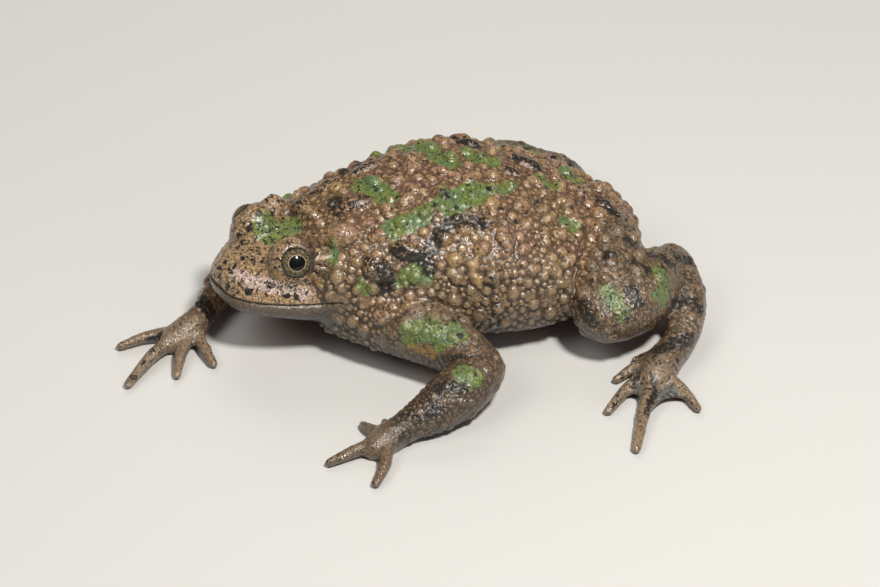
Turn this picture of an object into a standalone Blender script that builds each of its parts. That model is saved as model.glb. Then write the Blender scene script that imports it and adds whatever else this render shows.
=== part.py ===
"""A life-size fire-bellied toad, still, resting on its belly, hands and feet.

The toad faces -Y, its left side is +X and the floor is z = 0. Sizes and places are in millimetres,
drawn for a toad of DRAWN_LENGTH from snout to vent, and the last step scales them to metres.
The flesh is blocked out from lofted bodies and balls, fused to one skin, given its glands, and
then parted with thin cuts where a person would name its parts. The eyes are nodes of their own.
"""

import math
import random

import bmesh
import bpy
import numpy as np
from mathutils import Matrix, Vector, kdtree
from mathutils.bvhtree import BVHTree

SNOUT_VENT = 0.062  # metres, the toad's real length
DRAWN_LENGTH = 62.0  # the length that the millimetre places below are drawn for
CUT = 0.34  # thickness of the cuts that part the nodes
VOXEL = 0.3  # grain of the fused skin
TRIANGLES = 10800  # what the flesh is thinned to
NAME = "fire_bellied_toad"

# The trunk, from the neck to the vent: place along Y, half width, top, bottom.
TRUNK = (
    (-17.0, 11.0, 17.2, 4.0),
    (-12.0, 12.8, 19.2, 2.4),
    (-6.0, 14.4, 20.8, 1.2),
    (1.0, 16.3, 21.8, 0.2),
    (8.0, 17.6, 21.4, -0.3),
    (15.0, 17.0, 18.8, -0.3),
    (21.0, 14.4, 15.8, 0.4),
    (26.0, 10.9, 13.6, 2.0),
    (29.5, 6.8, 11.4, 4.0),
    (31.4, 3.2, 9.6, 5.8),
)

# The head has its own frame: +Y back from the snout, +X to its left, +Z up, the mouth at z = 0.
HEAD_ORIGIN = (4.6, -30.3, 10.0)  # the tip of the snout
HEAD_YAW = math.radians(19)  # turned to the toad's left
HEAD_PITCH = math.radians(8)  # the snout held up
HEAD = (  # back from the snout, half width, top, bottom
    (0.5, 3.0, 1.9, -1.3),
    (1.6, 4.8, 3.1, -2.1),
    (3.6, 6.7, 4.4, -2.5),
    (6.5, 8.6, 5.6, -3.0),
    (10.0, 10.2, 6.8, -3.7),
    (14.0, 11.4, 8.2, -4.7),
    (18.0, 11.6, 9.4, -5.4),
    (22.0, 10.4, 9.6, -4.6),
)
EYE_PLACE = (5.9, 8.2, 6.2)  # the left eye's centre
EYE_RADIUS = 2.5
EYE_LOOK = (0.82, -0.34, 0.46)  # the way the left eye looks
FLESH_BALL = (0.8, 3.4)  # the flesh round an eye: how far it is set back, and its radius
LID_SET_BACK = 0.75  # the lids' ball sits this far behind the eye, which opens them in front
LID_RADIUS = 3.25
LID_BLEND = 0.28  # how softly the lids run into the head
SOCKET_GAP = 0.3
MOUTH_BACK = 13.5  # the mouth's corners, back from the snout
MOUTH_GROOVE = 0.34
NOSTRIL = (1.7, 1.5, 2.2)
NOSTRIL_RADIUS = 0.42

# The limbs, as rows of x, y, z and radius from the body outward.
ARM_LEFT = {
    "upper_arm": (
        (6.5, -12.5, 6.8, 5.4),
        (14.0, -5.8, 6.6, 4.9),
        (20.2, -0.4, 5.9, 3.9),
        (24.6, 2.2, 4.9, 3.3),
    ),
    "forearm": (
        (24.8, 2.2, 4.8, 3.3),
        (27.4, -1.6, 4.2, 3.8),
        (29.5, -6.2, 3.1, 3.2),
        (30.4, -10.2, 2.1, 2.2),
    ),
    "palm": ((30.3, -9.4, 2.1, 2.1), (31.2, -12.2, 1.5, 2.3), (32.6, -14.8, 1.1, 2.0)),
    "digits": (
        ((29.9, -11.2, 1.4, 0.95), (28.2, -12.2, 1.0, 0.75), (26.6, -12.2, 0.6, 0.64)),
        ((30.6, -13.0, 1.3, 1.05), (28.6, -14.6, 1.1, 0.85), (26.8, -15.3, 0.6, 0.64)),
        ((31.8, -14.2, 1.2, 1.15), (32.8, -18.0, 1.2, 0.9), (33.6, -21.6, 0.6, 0.66)),
        ((33.4, -13.6, 1.2, 1.15), (36.6, -14.6, 1.2, 0.9), (39.4, -16.6, 0.62, 0.7)),
    ),
    "webs": (),
}
ARM_RIGHT = {
    "upper_arm": (
        (-7.5, -8.0, 8.4, 4.8),
        (-13.0, -11.8, 7.6, 4.2),
        (-16.4, -16.6, 5.4, 3.1),
        (-15.2, -21.4, 4.0, 2.6),
    ),
    "forearm": (
        (-15.1, -21.6, 3.9, 2.5),
        (-10.2, -25.0, 2.8, 2.4),
        (-4.8, -28.9, 2.5, 2.3),
        (-0.6, -31.8, 2.3, 1.9),
    ),
    "palm": ((-0.9, -31.4, 2.4, 2.0), (0.8, -33.8, 1.7, 2.3), (2.4, -36.4, 1.2, 2.1)),
    "digits": (
        ((2.2, -32.8, 1.4, 1.0), (5.4, -32.6, 1.2, 0.85), (8.4, -32.0, 0.64, 0.7)),
        ((2.8, -34.6, 1.4, 1.1), (6.2, -36.2, 1.3, 0.9), (9.6, -37.4, 0.6, 0.66)),
        ((2.4, -36.6, 1.3, 1.15), (5.4, -40.2, 1.3, 0.95), (9.9, -44.3, 0.62, 0.7)),
        ((0.6, -36.6, 1.3, 1.1), (0.4, -40.2, 1.1, 0.85), (1.0, -43.8, 0.6, 0.66)),
    ),
    "webs": (),
}
LEG_LEFT = {
    "thigh": (
        (4.0, 25.5, 8.6, 5.2),
        (9.5, 24.2, 8.6, 5.7),
        (15.0, 22.6, 8.0, 5.4),
        (18.8, 21.0, 7.2, 4.5),
    ),
    "shank": (
        (19.8, 21.8, 7.1, 4.3),
        (17.8, 26.2, 7.3, 4.6),
        (13.2, 30.4, 7.1, 4.0),
        (9.4, 34.2, 6.4, 3.0),
    ),
    "tarsus": (
        (9.6, 34.6, 6.0, 2.9),
        (15.4, 34.6, 4.4, 2.8),
        (20.3, 32.6, 3.0, 2.6),
        (23.6, 30.2, 2.2, 2.3),
    ),
    "palm": ((22.8, 30.6, 2.2, 2.3), (25.8, 27.6, 1.6, 2.6), (28.4, 25.6, 1.2, 2.4)),
    "digits": (
        ((23.0, 28.8, 1.6, 1.0), (22.6, 26.4, 1.2, 0.8), (22.4, 24.4, 0.6, 0.64)),
        ((24.4, 27.4, 1.5, 1.05), (24.8, 24.0, 1.2, 0.85), (26.2, 20.8, 0.6, 0.66)),
        ((26.2, 26.2, 1.4, 1.1), (29.0, 21.6, 1.2, 0.9), (32.6, 17.6, 0.62, 0.7)),
        ((28.4, 25.4, 1.4, 1.2), (34.4, 22.2, 1.2, 0.95), (41.4, 18.8, 0.64, 0.72)),
        ((28.0, 27.2, 1.4, 1.1), (31.6, 28.8, 1.1, 0.85), (35.2, 29.6, 0.6, 0.66)),
    ),
    "webs": ((0, 1, 0.7), (1, 2, 0.7), (2, 3, 0.66), (3, 4, 0.7)),
}
LEG_RIGHT = {
    "thigh": (
        (-4.0, 24.0, 8.2, 5.0),
        (-9.5, 21.0, 7.7, 5.3),
        (-15.2, 17.0, 7.2, 5.0),
        (-20.0, 13.6, 6.2, 4.4),
    ),
    "shank": (
        (-21.2, 15.0, 5.8, 4.2),
        (-20.8, 19.6, 5.6, 4.2),
        (-17.4, 23.8, 5.0, 3.5),
        (-13.6, 26.4, 4.2, 2.6),
    ),
    "tarsus": (
        (-13.8, 27.2, 4.0, 2.5),
        (-19.2, 28.2, 3.2, 2.4),
        (-24.0, 26.8, 2.6, 2.3),
        (-26.8, 23.6, 2.1, 2.3),
    ),
    "palm": ((-26.4, 23.8, 2.2, 2.3), (-28.1, 19.9, 1.6, 2.6), (-29.8, 17.0, 1.2, 2.4)),
    "digits": (
        ((-26.2, 20.4, 1.5, 1.0), (-26.0, 17.3, 1.2, 0.8), (-26.1, 15.0, 0.6, 0.64)),
        ((-27.2, 18.9, 1.5, 1.05), (-27.4, 14.7, 1.2, 0.85), (-27.8, 11.3, 0.6, 0.66)),
        ((-28.5, 17.5, 1.4, 1.1), (-29.7, 12.1, 1.2, 0.9), (-30.9, 7.0, 0.62, 0.7)),
        ((-29.8, 16.8, 1.4, 1.2), (-33.2, 11.6, 1.2, 0.95), (-36.7, 5.8, 0.64, 0.72)),
        ((-30.0, 18.4, 1.4, 1.1), (-33.4, 17.3, 1.1, 0.85), (-36.4, 15.3, 0.6, 0.66)),
    ),
    "webs": ((0, 1, 0.7), (1, 2, 0.7), (2, 3, 0.66), (3, 4, 0.7)),
}
LIMBS = {
    "arm_left": ARM_LEFT,
    "arm_right": ARM_RIGHT,
    "leg_left": LEG_LEFT,
    "leg_right": LEG_RIGHT,
}
WEB_THICKNESS = 0.7

# The named glands: place on the skin, half length, half width, heading in plan, in degrees, and height.
GLANDS = (
    (7.0, -13.5, 19.0, 2.8, 1.95, 77, 1.6),  # behind the left eye
    (-5.5, -19.5, 16.5, 2.1, 1.9, 50, 2.3),  # behind the right eye
    (2.5, -10.5, 20.5, 3.0, 1.5, 90, 1.15),
    (-3.0, -17.5, 17.5, 1.9, 1.5, 0, 0.95),
    (-4.5, -13.0, 19.0, 2.8, 1.25, 95, 0.8),
    (11.5, -5.0, 17.0, 2.6, 1.4, 53, 0.95),
    (12.5, -9.5, 15.5, 2.8, 1.8, 20, 1.2),
    (-5.5, -6.5, 20.5, 2.8, 1.1, 98, 0.8),
    (-4.5, 0.0, 21.5, 1.5, 1.2, 22, 0.75),
    (-2.5, 5.0, 22.5, 1.3, 1.2, 72, 0.9),
    (5.0, 1.5, 22.0, 1.2, 1.1, 45, 0.9),
    (-7.5, 9.0, 20.0, 1.8, 1.0, 48, 0.7),
    (-3.5, 16.5, 18.0, 2.6, 1.4, 63, 0.9),
    (0.5, 23.0, 15.0, 1.6, 1.0, 18, 0.7),
    (4.5, 20.0, 16.0, 1.3, 1.1, 76, 0.7),
    (8.0, 8.0, 20.5, 1.3, 1.2, 99, 0.85),
    (17.0, 6.0, 14.5, 1.5, 1.4, 86, 1.1),
    (14.5, 1.0, 16.5, 1.2, 1.1, 85, 0.75),
    (15.5, 1.0, 14.0, 1.1, 1.0, 60, 0.65),
    (14.0, 11.0, 16.0, 1.1, 1.0, 90, 0.65),
    (11.5, 14.5, 16.5, 1.1, 1.0, 84, 0.65),
    (7.5, 12.5, 19.0, 1.4, 1.1, 105, 0.65),
    (-9.5, -1.0, 19.0, 1.7, 1.2, 80, 0.8),
    (-11.0, 8.5, 17.5, 1.6, 1.3, 70, 0.8),
    (-14.5, 2.0, 14.5, 1.5, 1.3, 80, 0.8),
)
FILL_SPACING = 3.4  # about how far apart the unnamed glands stand
FILL_RADIUS = (1.1, 1.6)
FILL_HEIGHT = (0.42, 0.64)

# The cuts, in order: what comes off, a point of the plane, its normal, the disc's radius and a point
# in the piece that comes off.
CUTS = (
    ("hand_left", (30.4, -10.0, 2.1), (0.23, -0.95, -0.2), 3.0, (32.0, -13.0, 1.2)),
    ("forearm_left", (25.8, 0.6, 4.7), (-0.82, 0.54, 0.14), 4.9, (28.0, -3.0, 4.0)),
    ("upper_arm_left", (17.2, -3.4, 6.4), (0.99, 0.05, -0.06), 7.6, (21.0, 0.6, 5.6)),
    ("hand_right", (-0.8, -31.8, 2.3), (0.6, -0.8, -0.1), 3.0, (1.6, -35.2, 1.4)),
    ("forearm_right", (-14.6, -22.0, 3.8), (0.66, -0.75, -0.1), 3.6, (-9.0, -25.8, 2.8)),
    ("upper_arm_right", (-15.5, -14.3, 6.3), (-0.7, -0.5, -0.5), 5.0, (-16.6, -17.8, 5.0)),
    ("foot_left", (23.4, 30.3, 2.2), (0.65, -0.74, -0.2), 3.4, (27.0, 26.6, 1.4)),
    ("foot_right", (-26.3, 24.2, 2.2), (-0.5, -0.86, -0.15), 3.2, (-29.0, 18.6, 1.4)),
    ("tarsus_left", (15.0, 33.9, 4.8), (0.62, 0.74, -0.26), 6.2, (20.6, 33.0, 3.0)),
    ("tarsus_right", (-17.1, 27.2, 4.2), (-0.4, 0.92, 0.0), 5.2, (-23.8, 26.9, 2.6)),
    ("shank_left", (16.2, 27.0, 7.3), (0.42, 0.9, 0.0), 9.7, (14.6, 29.6, 7.0)),
    ("shank_right", (-18.2, 21.4, 5.6), (-0.58, 0.81, 0.0), 9.4, (-19.4, 22.2, 5.2)),
    ("thigh_left", (12.9, 23.5, 8.3), (0.81, 0.58, 0.0), 9.6, (18.2, 21.2, 7.0)),
    ("thigh_right", (-14.6, 17.9, 7.4), (-0.88, 0.38, -0.3), 10.4, (-19.0, 14.2, 6.4)),
    ("head", (-0.7, -16.8, 9.6), (0.08, -1.0, 0.0), 13.8, (3.0, -24.0, 10.0)),
)

SKIN = (0.36, 0.25, 0.18, 1.0)
SKINS = {  # each part of the skin, a little lighter or darker
    "head": (0.38, 0.27, 0.20, 1.0),
    "torso": SKIN,
    "hand": (0.42, 0.31, 0.24, 1.0),
    "foot": (0.36, 0.32, 0.30, 1.0),
}
EYE_BLACK = (0.03, 0.02, 0.015, 1.0)


def head_frame():
    """Takes the head's own frame to the toad's."""
    pitch = Matrix.Rotation(-HEAD_PITCH, 4, "X")
    yaw = Matrix.Rotation(HEAD_YAW, 4, "Z")
    return Matrix.Translation(HEAD_ORIGIN) @ yaw @ pitch


def eye_spot(side):
    """An eye's centre and the way it looks, in the toad's frame: side is 1 on the left, -1 on the right."""
    frame = head_frame()
    centre = frame @ Vector((EYE_PLACE[0] * side, EYE_PLACE[1], EYE_PLACE[2]))
    look = Vector((EYE_LOOK[0] * side, EYE_LOOK[1], EYE_LOOK[2])).normalized()
    return centre, frame.to_3x3() @ look


def smooth_rows(rows, steps):
    """Catmull-Rom rows through the given rows of numbers, with steps to a span."""
    table = np.array(rows, float)
    padded = np.vstack([2 * table[0] - table[1], table, 2 * table[-1] - table[-2]])
    found = []
    for i in range(len(table) - 1):
        a, b, c, d = padded[i : i + 4]
        for t in np.arange(steps) / steps:
            bend = (2 * a - 5 * b + 4 * c - d) * t**2 + (3 * b - a - 3 * c + d) * t**3
            found.append(0.5 * (2 * b + (c - a) * t + bend))
    found.append(table[-1])
    return np.array(found)


def ring(centre, side, up, half_width, rise, drop, powers, count):
    """A superellipse of points, with its own reach and power above and below the centre."""
    points = []
    for i in range(count):
        angle = 2 * math.pi * i / count
        c, s = math.cos(angle), math.sin(angle)
        power = powers[0] if s > 0 else powers[1]
        x = math.copysign(abs(c) ** (2 / power), c) * half_width
        z = math.copysign(abs(s) ** (2 / power), s) * (rise if s > 0 else drop)
        points.append(centre + side * x + up * z)
    return points


def skin_rings(bm, rings):
    """Adds a closed body through rings of equally many points, with a fan at each end."""
    rows = [[bm.verts.new(p) for p in points] for points in rings]
    count = len(rows[0])
    faces = []
    for near, far in zip(rows, rows[1:]):
        for i in range(count):
            j = (i + 1) % count
            faces.append(bm.faces.new((near[i], near[j], far[j], far[i])))
    for row in (rows[0], rows[-1]):
        hub = bm.verts.new(sum((v.co for v in row), Vector()) / count)
        for i in range(count):
            faces.append(bm.faces.new((row[i], row[(i + 1) % count], hub)))
    bmesh.ops.recalc_face_normals(bm, faces=faces)


def add_trunk(bm):
    """The trunk, broad and low, its belly flatter than its back."""
    rings = []
    for y, half_width, top, bottom in smooth_rows(TRUNK, 5):
        middle = bottom + 0.44 * (top - bottom)
        centre = Vector((0, y, middle))
        rise, drop = top - middle, middle - bottom
        side, up = Vector((1, 0, 0)), Vector((0, 0, 1))
        rings.append(ring(centre, side, up, half_width, rise, drop, (2.1, 2.5), 48))
    skin_rings(bm, rings)


def add_head(bm):
    """The head, a blunt wedge whose widest line is the mouth, and a ball of flesh for each eye's lids."""
    frame = head_frame()
    side, up = frame.to_3x3() @ Vector((1, 0, 0)), frame.to_3x3() @ Vector((0, 0, 1))
    rings = []
    for back, half_width, top, bottom in smooth_rows(HEAD, 4):
        centre = frame @ Vector((0, back, 0))
        rings.append(ring(centre, side, up, half_width, top, -bottom, (2.3, 2.3), 40))
    skin_rings(bm, rings)
    for eye in (1, -1):
        centre, look = eye_spot(eye)
        spot = Matrix.Translation(centre - look * FLESH_BALL[0])
        bmesh.ops.create_icosphere(bm, subdivisions=4, radius=FLESH_BALL[1], matrix=spot)


def add_tube(bm, rows, steps=4, count=16):
    """A round limb or digit with rounded ends, through rows of x, y, z and radius."""
    path = smooth_rows(rows, steps)
    points = [Vector(row[:3]) for row in path]
    last = len(points) - 1
    rings = []
    for i, point in enumerate(points):
        along = (points[min(i + 1, last)] - points[max(i - 1, 0)]).normalized()
        side = along.cross(Vector((0, 0, 1))).normalized()
        up = side.cross(along).normalized()
        turns = {0: (-70, -40, 0), last: (0, 40, 70)}.get(i, (0,))
        for degrees in turns:
            reach = path[i][3] * math.sin(math.radians(degrees))
            radius = path[i][3] * math.cos(math.radians(degrees))
            rings.append(ring(point + along * reach, side, up, radius, radius, radius, (2, 2), count))
    skin_rings(bm, rings)


def add_web(bm, first, second, reach):
    """A thin sheet between two toes, out to a hollow edge, reach of the way along them."""
    steps = 7
    near = smooth_rows(first, 6)
    far = smooth_rows(second, 6)
    half = Vector((0, 0, WEB_THICKNESS / 2))
    rows = []
    for across in np.linspace(0, 1, steps):
        hollow = 1 - 0.34 * math.sin(math.pi * across)
        line = []
        for t in np.linspace(0, 1, steps):
            place = t * reach * hollow * (len(near) - 1)
            low = min(int(place), len(near) - 2)
            a = near[low] + (near[low + 1] - near[low]) * (place - low)
            b = far[low] + (far[low + 1] - far[low]) * (place - low)
            line.append(Vector((a + (b - a) * across)[:3]))
        rows.append(line)
    faces = []
    grids = []
    for shift in (half, -half):
        grids.append([[bm.verts.new(p + shift) for p in line] for line in rows])
    for grid in grids:
        for i in range(steps - 1):
            for j in range(steps - 1):
                quad = (grid[i][j], grid[i + 1][j], grid[i + 1][j + 1], grid[i][j + 1])
                faces.append(bm.faces.new(quad))
    rim = [(0, j) for j in range(steps - 1)] + [(i, steps - 1) for i in range(steps - 1)]
    rim += [(steps - 1, j) for j in range(steps - 1, 0, -1)] + [(i, 0) for i in range(steps - 1, 0, -1)]
    for (i, j), (k, m) in zip(rim, rim[1:] + rim[:1]):
        top, bottom = grids
        faces.append(bm.faces.new((top[i][j], top[k][m], bottom[k][m], bottom[i][j])))
    bmesh.ops.recalc_face_normals(bm, faces=faces)


def add_limb(bm, limb):
    """An arm or a leg with its hand or foot."""
    for name, rows in limb.items():
        if name == "digits":
            for digit in rows:
                add_tube(bm, digit, count=12)
        elif name == "webs":
            for first, second, reach in rows:
                add_web(bm, limb["digits"][first], limb["digits"][second], reach)
        else:
            add_tube(bm, rows)


def new_object(name, mesh, collection):
    """An object of the mesh, in the collection."""
    made = bpy.data.objects.new(name, mesh)
    collection.objects.link(made)
    return made


def settle(obj):
    """Makes the result of the object's modifiers its own mesh."""
    graph = bpy.context.evaluated_depsgraph_get()
    graph.update()
    made = bpy.data.meshes.new_from_object(obj.evaluated_get(graph))
    old = obj.data
    obj.modifiers.clear()
    obj.data = made
    bpy.data.meshes.remove(old)


def block_out():
    """The whole animal as closed bodies that run into one another."""
    bm = bmesh.new()
    add_trunk(bm)
    add_head(bm)
    for limb in LIMBS.values():
        add_limb(bm, limb)
    return bm


def fuse(obj, voxel):
    """One closed skin round all that the object holds."""
    remesh = obj.modifiers.new("fuse", "REMESH")
    remesh.mode = "VOXEL"
    remesh.voxel_size = voxel
    settle(obj)


def read_skin(mesh):
    """The mesh's points, edges and normals as arrays."""
    count = len(mesh.vertices)
    points = np.empty(count * 3, np.float32)
    mesh.vertices.foreach_get("co", points)
    edges = np.empty(len(mesh.edges) * 2, np.int32)
    mesh.edges.foreach_get("vertices", edges)
    normals = np.empty(count * 3, np.float32)
    mesh.vertex_normals.foreach_get("vector", normals)
    return points.reshape(-1, 3).astype(float), edges.reshape(-1, 2), normals.reshape(-1, 3).astype(float)


def write_skin(mesh, points):
    """Puts the points back into the mesh."""
    mesh.vertices.foreach_set("co", points.astype(np.float32).ravel())
    mesh.update()


def relax(points, edges, weight, rounds):
    """Draws each point towards the middle of its neighbours, by its weight, in each round."""
    a, b = edges.T
    count = len(points)
    degree = np.bincount(edges.ravel(), minlength=count)
    for _ in range(rounds):
        middle = np.empty_like(points)
        for axis in range(3):
            column = points[:, axis]
            middle[:, axis] = np.bincount(a, column[b], count) + np.bincount(b, column[a], count)
        points += weight[:, None] * (middle / degree[:, None] - points)


def finger_share(points):
    """1 on the digits and webs, 0 on the rest, blended at the palm."""
    share = np.zeros(len(points))
    for limb in LIMBS.values():
        centre = np.array(limb["palm"][1][:3])
        tips = np.array([digit[-1][:3] for digit in limb["digits"]])
        reach = 3.0 + max(np.linalg.norm(tips - centre, axis=1))
        away = np.linalg.norm(points - centre, axis=1)
        ahead = (points - centre) @ (tips.mean(axis=0) - centre)
        near = np.clip((ahead / np.linalg.norm(tips.mean(axis=0) - centre) + 1.0) / 3.0, 0, 1)
        share = np.maximum(share, near * (away < reach) * (points[:, 2] < 4.5))
    return share


def raise_lids(points):
    """Brings the skin round each eye out to the ball of its lids."""
    for side in (1, -1):
        centre, look = eye_spot(side)
        middle = np.array(centre - look * LID_SET_BACK)
        away = points - middle
        gap = np.linalg.norm(away, axis=1)
        near = (gap < LID_RADIUS + 2) & (gap > 0.5)
        short = (LID_RADIUS - gap[near]) / LID_BLEND
        reach = gap[near] + LID_BLEND * np.log1p(np.exp(np.clip(short, -20, 20)))
        reach = np.where(short > 20, LID_RADIUS, reach)
        points[near] = middle + away[near] / gap[near, None] * reach[:, None]


def gland_list(points, normals):
    """The named glands and the round ones between: place, long axis, half length, half width, height."""
    chance = random.Random(11)
    found = []
    for x, y, z, half_length, half_width, heading, height in GLANDS:
        nearest = np.argmin(np.linalg.norm(points - (x, y, z), axis=1))
        ahead = np.array((math.cos(math.radians(heading)), math.sin(math.radians(heading)), 0.0))
        axis = ahead - normals[nearest] * (ahead @ normals[nearest])
        axis /= np.linalg.norm(axis)
        found.append((points[nearest], axis, half_length, half_width, height))
    eyes = [np.array(eye_spot(side)[0]) for side in (1, -1)]
    order = list(range(0, len(points), 3))
    chance.shuffle(order)
    for i in order:
        spot = points[i]
        on_trunk = abs(spot[0]) < 18.5 and -16 < spot[1] < 29 and spot[2] > 5.0 and normals[i][2] > -0.2
        if not on_trunk or min(np.linalg.norm(spot - eye) for eye in eyes) < 6.0:
            continue
        radius = chance.uniform(*FILL_RADIUS)
        if all(np.linalg.norm(spot - g[0]) > FILL_SPACING * 0.5 + g[2] * 0.9 for g in found):
            found.append((spot, np.array((1.0, 0.0, 0.0)), radius, radius, chance.uniform(*FILL_HEIGHT)))
    return found


def raise_glands(points, normals, glands):
    """Lifts the skin into a dome at each gland."""
    tree = kdtree.KDTree(len(points))
    for i, point in enumerate(points):
        tree.insert(point, i)
    tree.balance()
    lift = np.zeros(len(points))
    for spot, axis, half_length, half_width, height in glands:
        for place, index, distance in tree.find_range(spot, half_length):
            along = (np.array(place) - spot) @ axis
            across = max(distance**2 - along**2, 0)
            share = (along / half_length) ** 2 + across / half_width**2
            if share < 1:
                lift[index] = max(lift[index], height * (1 - share) ** 0.75)
    points += normals * lift[:, None]


def thin_out(obj, triangles):
    """Fewer faces, with the shape kept."""
    thin = obj.modifiers.new("thin", "DECIMATE")
    thin.decimate_type = "COLLAPSE"
    thin.ratio = triangles / sum(len(p.vertices) - 2 for p in obj.data.polygons)
    settle(obj)


def carve(obj, bm, solver="EXACT"):
    """Cuts the bodies of the mesh out of the object, and removes the cutter."""
    mesh = bpy.data.meshes.new("cutter")
    bm.to_mesh(mesh)
    bm.free()
    tool = new_object("cutter", mesh, bpy.data.collections["cutters"])
    tool.hide_render = True
    tool.display_type = "WIRE"
    cut = obj.modifiers.new("cut", "BOOLEAN")
    cut.operation = "DIFFERENCE"
    cut.solver = solver
    cut.object = tool
    settle(obj)
    bpy.data.objects.remove(tool)
    bpy.data.meshes.remove(mesh)


def islands(mesh):
    """The mesh's connected pieces, as sets of vertex numbers, the largest first."""
    links = [[] for _ in mesh.vertices]
    for edge in mesh.edges:
        a, b = edge.vertices
        links[a].append(b)
        links[b].append(a)
    seen = [False] * len(links)
    found = []
    for start in range(len(links)):
        if seen[start]:
            continue
        seen[start] = True
        piece = [start]
        for v in piece:
            for other in links[v]:
                if not seen[other]:
                    seen[other] = True
                    piece.append(other)
        found.append(set(piece))
    return sorted(found, key=len, reverse=True)


def keep_only(mesh, piece):
    """Drops every vertex that isn't in the piece."""
    bm = bmesh.new()
    bm.from_mesh(mesh)
    drop = [v for v in bm.verts if v.index not in piece]
    bmesh.ops.delete(bm, geom=drop, context="VERTS")
    bm.to_mesh(mesh)
    bm.free()


def part_off(body, name, point, normal, radius, inside, collection):
    """Cuts a piece off the body with a thin disc, and makes it an object of its own."""
    turn = Vector(normal).to_track_quat("Z", "Y").to_matrix().to_4x4()
    bm = bmesh.new()
    bmesh.ops.create_cone(
        bm,
        cap_ends=True,
        segments=24,
        radius1=radius,
        radius2=radius,
        depth=CUT,
        matrix=Matrix.Translation(point) @ turn,
    )
    carve(body, bm, "MANIFOLD")
    near = min(body.data.vertices, key=lambda v: (v.co - Vector(inside)).length).index
    pieces = islands(body.data)
    wanted = next(piece for piece in pieces if near in piece)
    rest = [piece for piece in pieces if piece is not wanted]
    if not rest:
        raise ValueError(name + " did not come off")
    made = new_object(name, body.data.copy(), collection)
    keep_only(made.data, wanted)
    keep_only(body.data, rest[0])
    return made


def cut_face(body):
    """Cuts the eyes' sockets, the line of the mouth and the nostrils."""
    bm = bmesh.new()
    for side in (1, -1):
        centre, _ = eye_spot(side)
        spot = Matrix.Translation(centre)
        radius = EYE_RADIUS + SOCKET_GAP
        bmesh.ops.create_uvsphere(bm, u_segments=24, v_segments=14, radius=radius, matrix=spot)
    carve(body, bm)
    frame = head_frame()
    surface = bmesh.new()
    surface.from_mesh(body.data)
    tree = BVHTree.FromBMesh(surface)
    surface.free()
    table = smooth_rows(HEAD, 4)
    wanted = [row for row in table if row[0] <= MOUTH_BACK]
    left = [frame @ Vector((row[1], row[0], 0)) for row in wanted]
    right = [frame @ Vector((-row[1], row[0], 0)) for row in wanted]
    path = [tree.find_nearest(p)[0] for p in left[::-1] + [frame @ Vector((0, 0, 0))] + right]
    bm = bmesh.new()
    add_tube(bm, [(*p, MOUTH_GROOVE) for p in path], steps=1, count=6)
    carve(body, bm)
    bm = bmesh.new()
    for side in (1, -1):
        spot = tree.find_nearest(frame @ Vector((NOSTRIL[0] * side, NOSTRIL[1], NOSTRIL[2])))[0]
        place = Matrix.Translation(spot)
        bmesh.ops.create_icosphere(bm, subdivisions=1, radius=NOSTRIL_RADIUS, matrix=place)
    carve(body, bm)


def add_eye(name, side, collection):
    """An eyeball, round, in its socket."""
    centre, look = eye_spot(side)
    mesh = bpy.data.meshes.new(name)
    bm = bmesh.new()
    turn = look.to_track_quat("Z", "Y").to_matrix().to_4x4()
    place = Matrix.Translation(centre) @ turn
    bmesh.ops.create_uvsphere(bm, u_segments=20, v_segments=12, radius=EYE_RADIUS, matrix=place)
    bm.to_mesh(mesh)
    bm.free()
    return new_object(name, mesh, collection)


def paint(obj, colour, roughness):
    """Gives the object a material of its own."""
    made = bpy.data.materials.new(obj.name)
    made.use_nodes = True
    shader = made.node_tree.nodes["Principled BSDF"]
    shader.inputs["Base Color"].default_value = colour
    shader.inputs["Roughness"].default_value = roughness
    shader.inputs["Metallic"].default_value = 0.0
    made.diffuse_color = colour
    obj.data.materials.clear()
    obj.data.materials.append(made)


def build_flesh(collection):
    """The fused skin with its glands, thinned, with the face cut in."""
    mesh = bpy.data.meshes.new("torso")
    bm = block_out()
    bm.to_mesh(mesh)
    bm.free()
    body = new_object("torso", mesh, collection)
    fuse(body, VOXEL)
    points, edges, _ = read_skin(body.data)
    share = finger_share(points)
    relax(points, edges, 0.5 * (1 - share), 36)
    relax(points, edges, 0.4 * np.ones(len(points)), 4)
    raise_lids(points)
    write_skin(body.data, points)
    points, edges, normals = read_skin(body.data)
    raise_glands(points, normals, gland_list(points, normals))
    points[:, 2] = np.maximum(points[:, 2], 0)
    write_skin(body.data, points)
    thin_out(body, TRIANGLES)
    for vertex in body.data.vertices:
        if vertex.co.z < 0.04:
            vertex.co.z = 0
    keep_only(body.data, islands(body.data)[0])
    return body


def finish(parts):
    """Sets the toad on its origin, at the bottom and middle of its box, in metres."""
    lows, highs = Vector((1e9,) * 3), Vector((-1e9,) * 3)
    for part in parts:
        for vertex in part.data.vertices:
            for axis in range(3):
                lows[axis] = min(lows[axis], vertex.co[axis])
                highs[axis] = max(highs[axis], vertex.co[axis])
    middle = Vector(((lows.x + highs.x) / 2, (lows.y + highs.y) / 2, lows.z))
    scale = SNOUT_VENT / DRAWN_LENGTH
    for part in parts:
        part.data.transform(Matrix.Diagonal((scale, scale, scale, 1)) @ Matrix.Translation(-middle))
        for polygon in part.data.polygons:
            polygon.use_smooth = True


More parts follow.
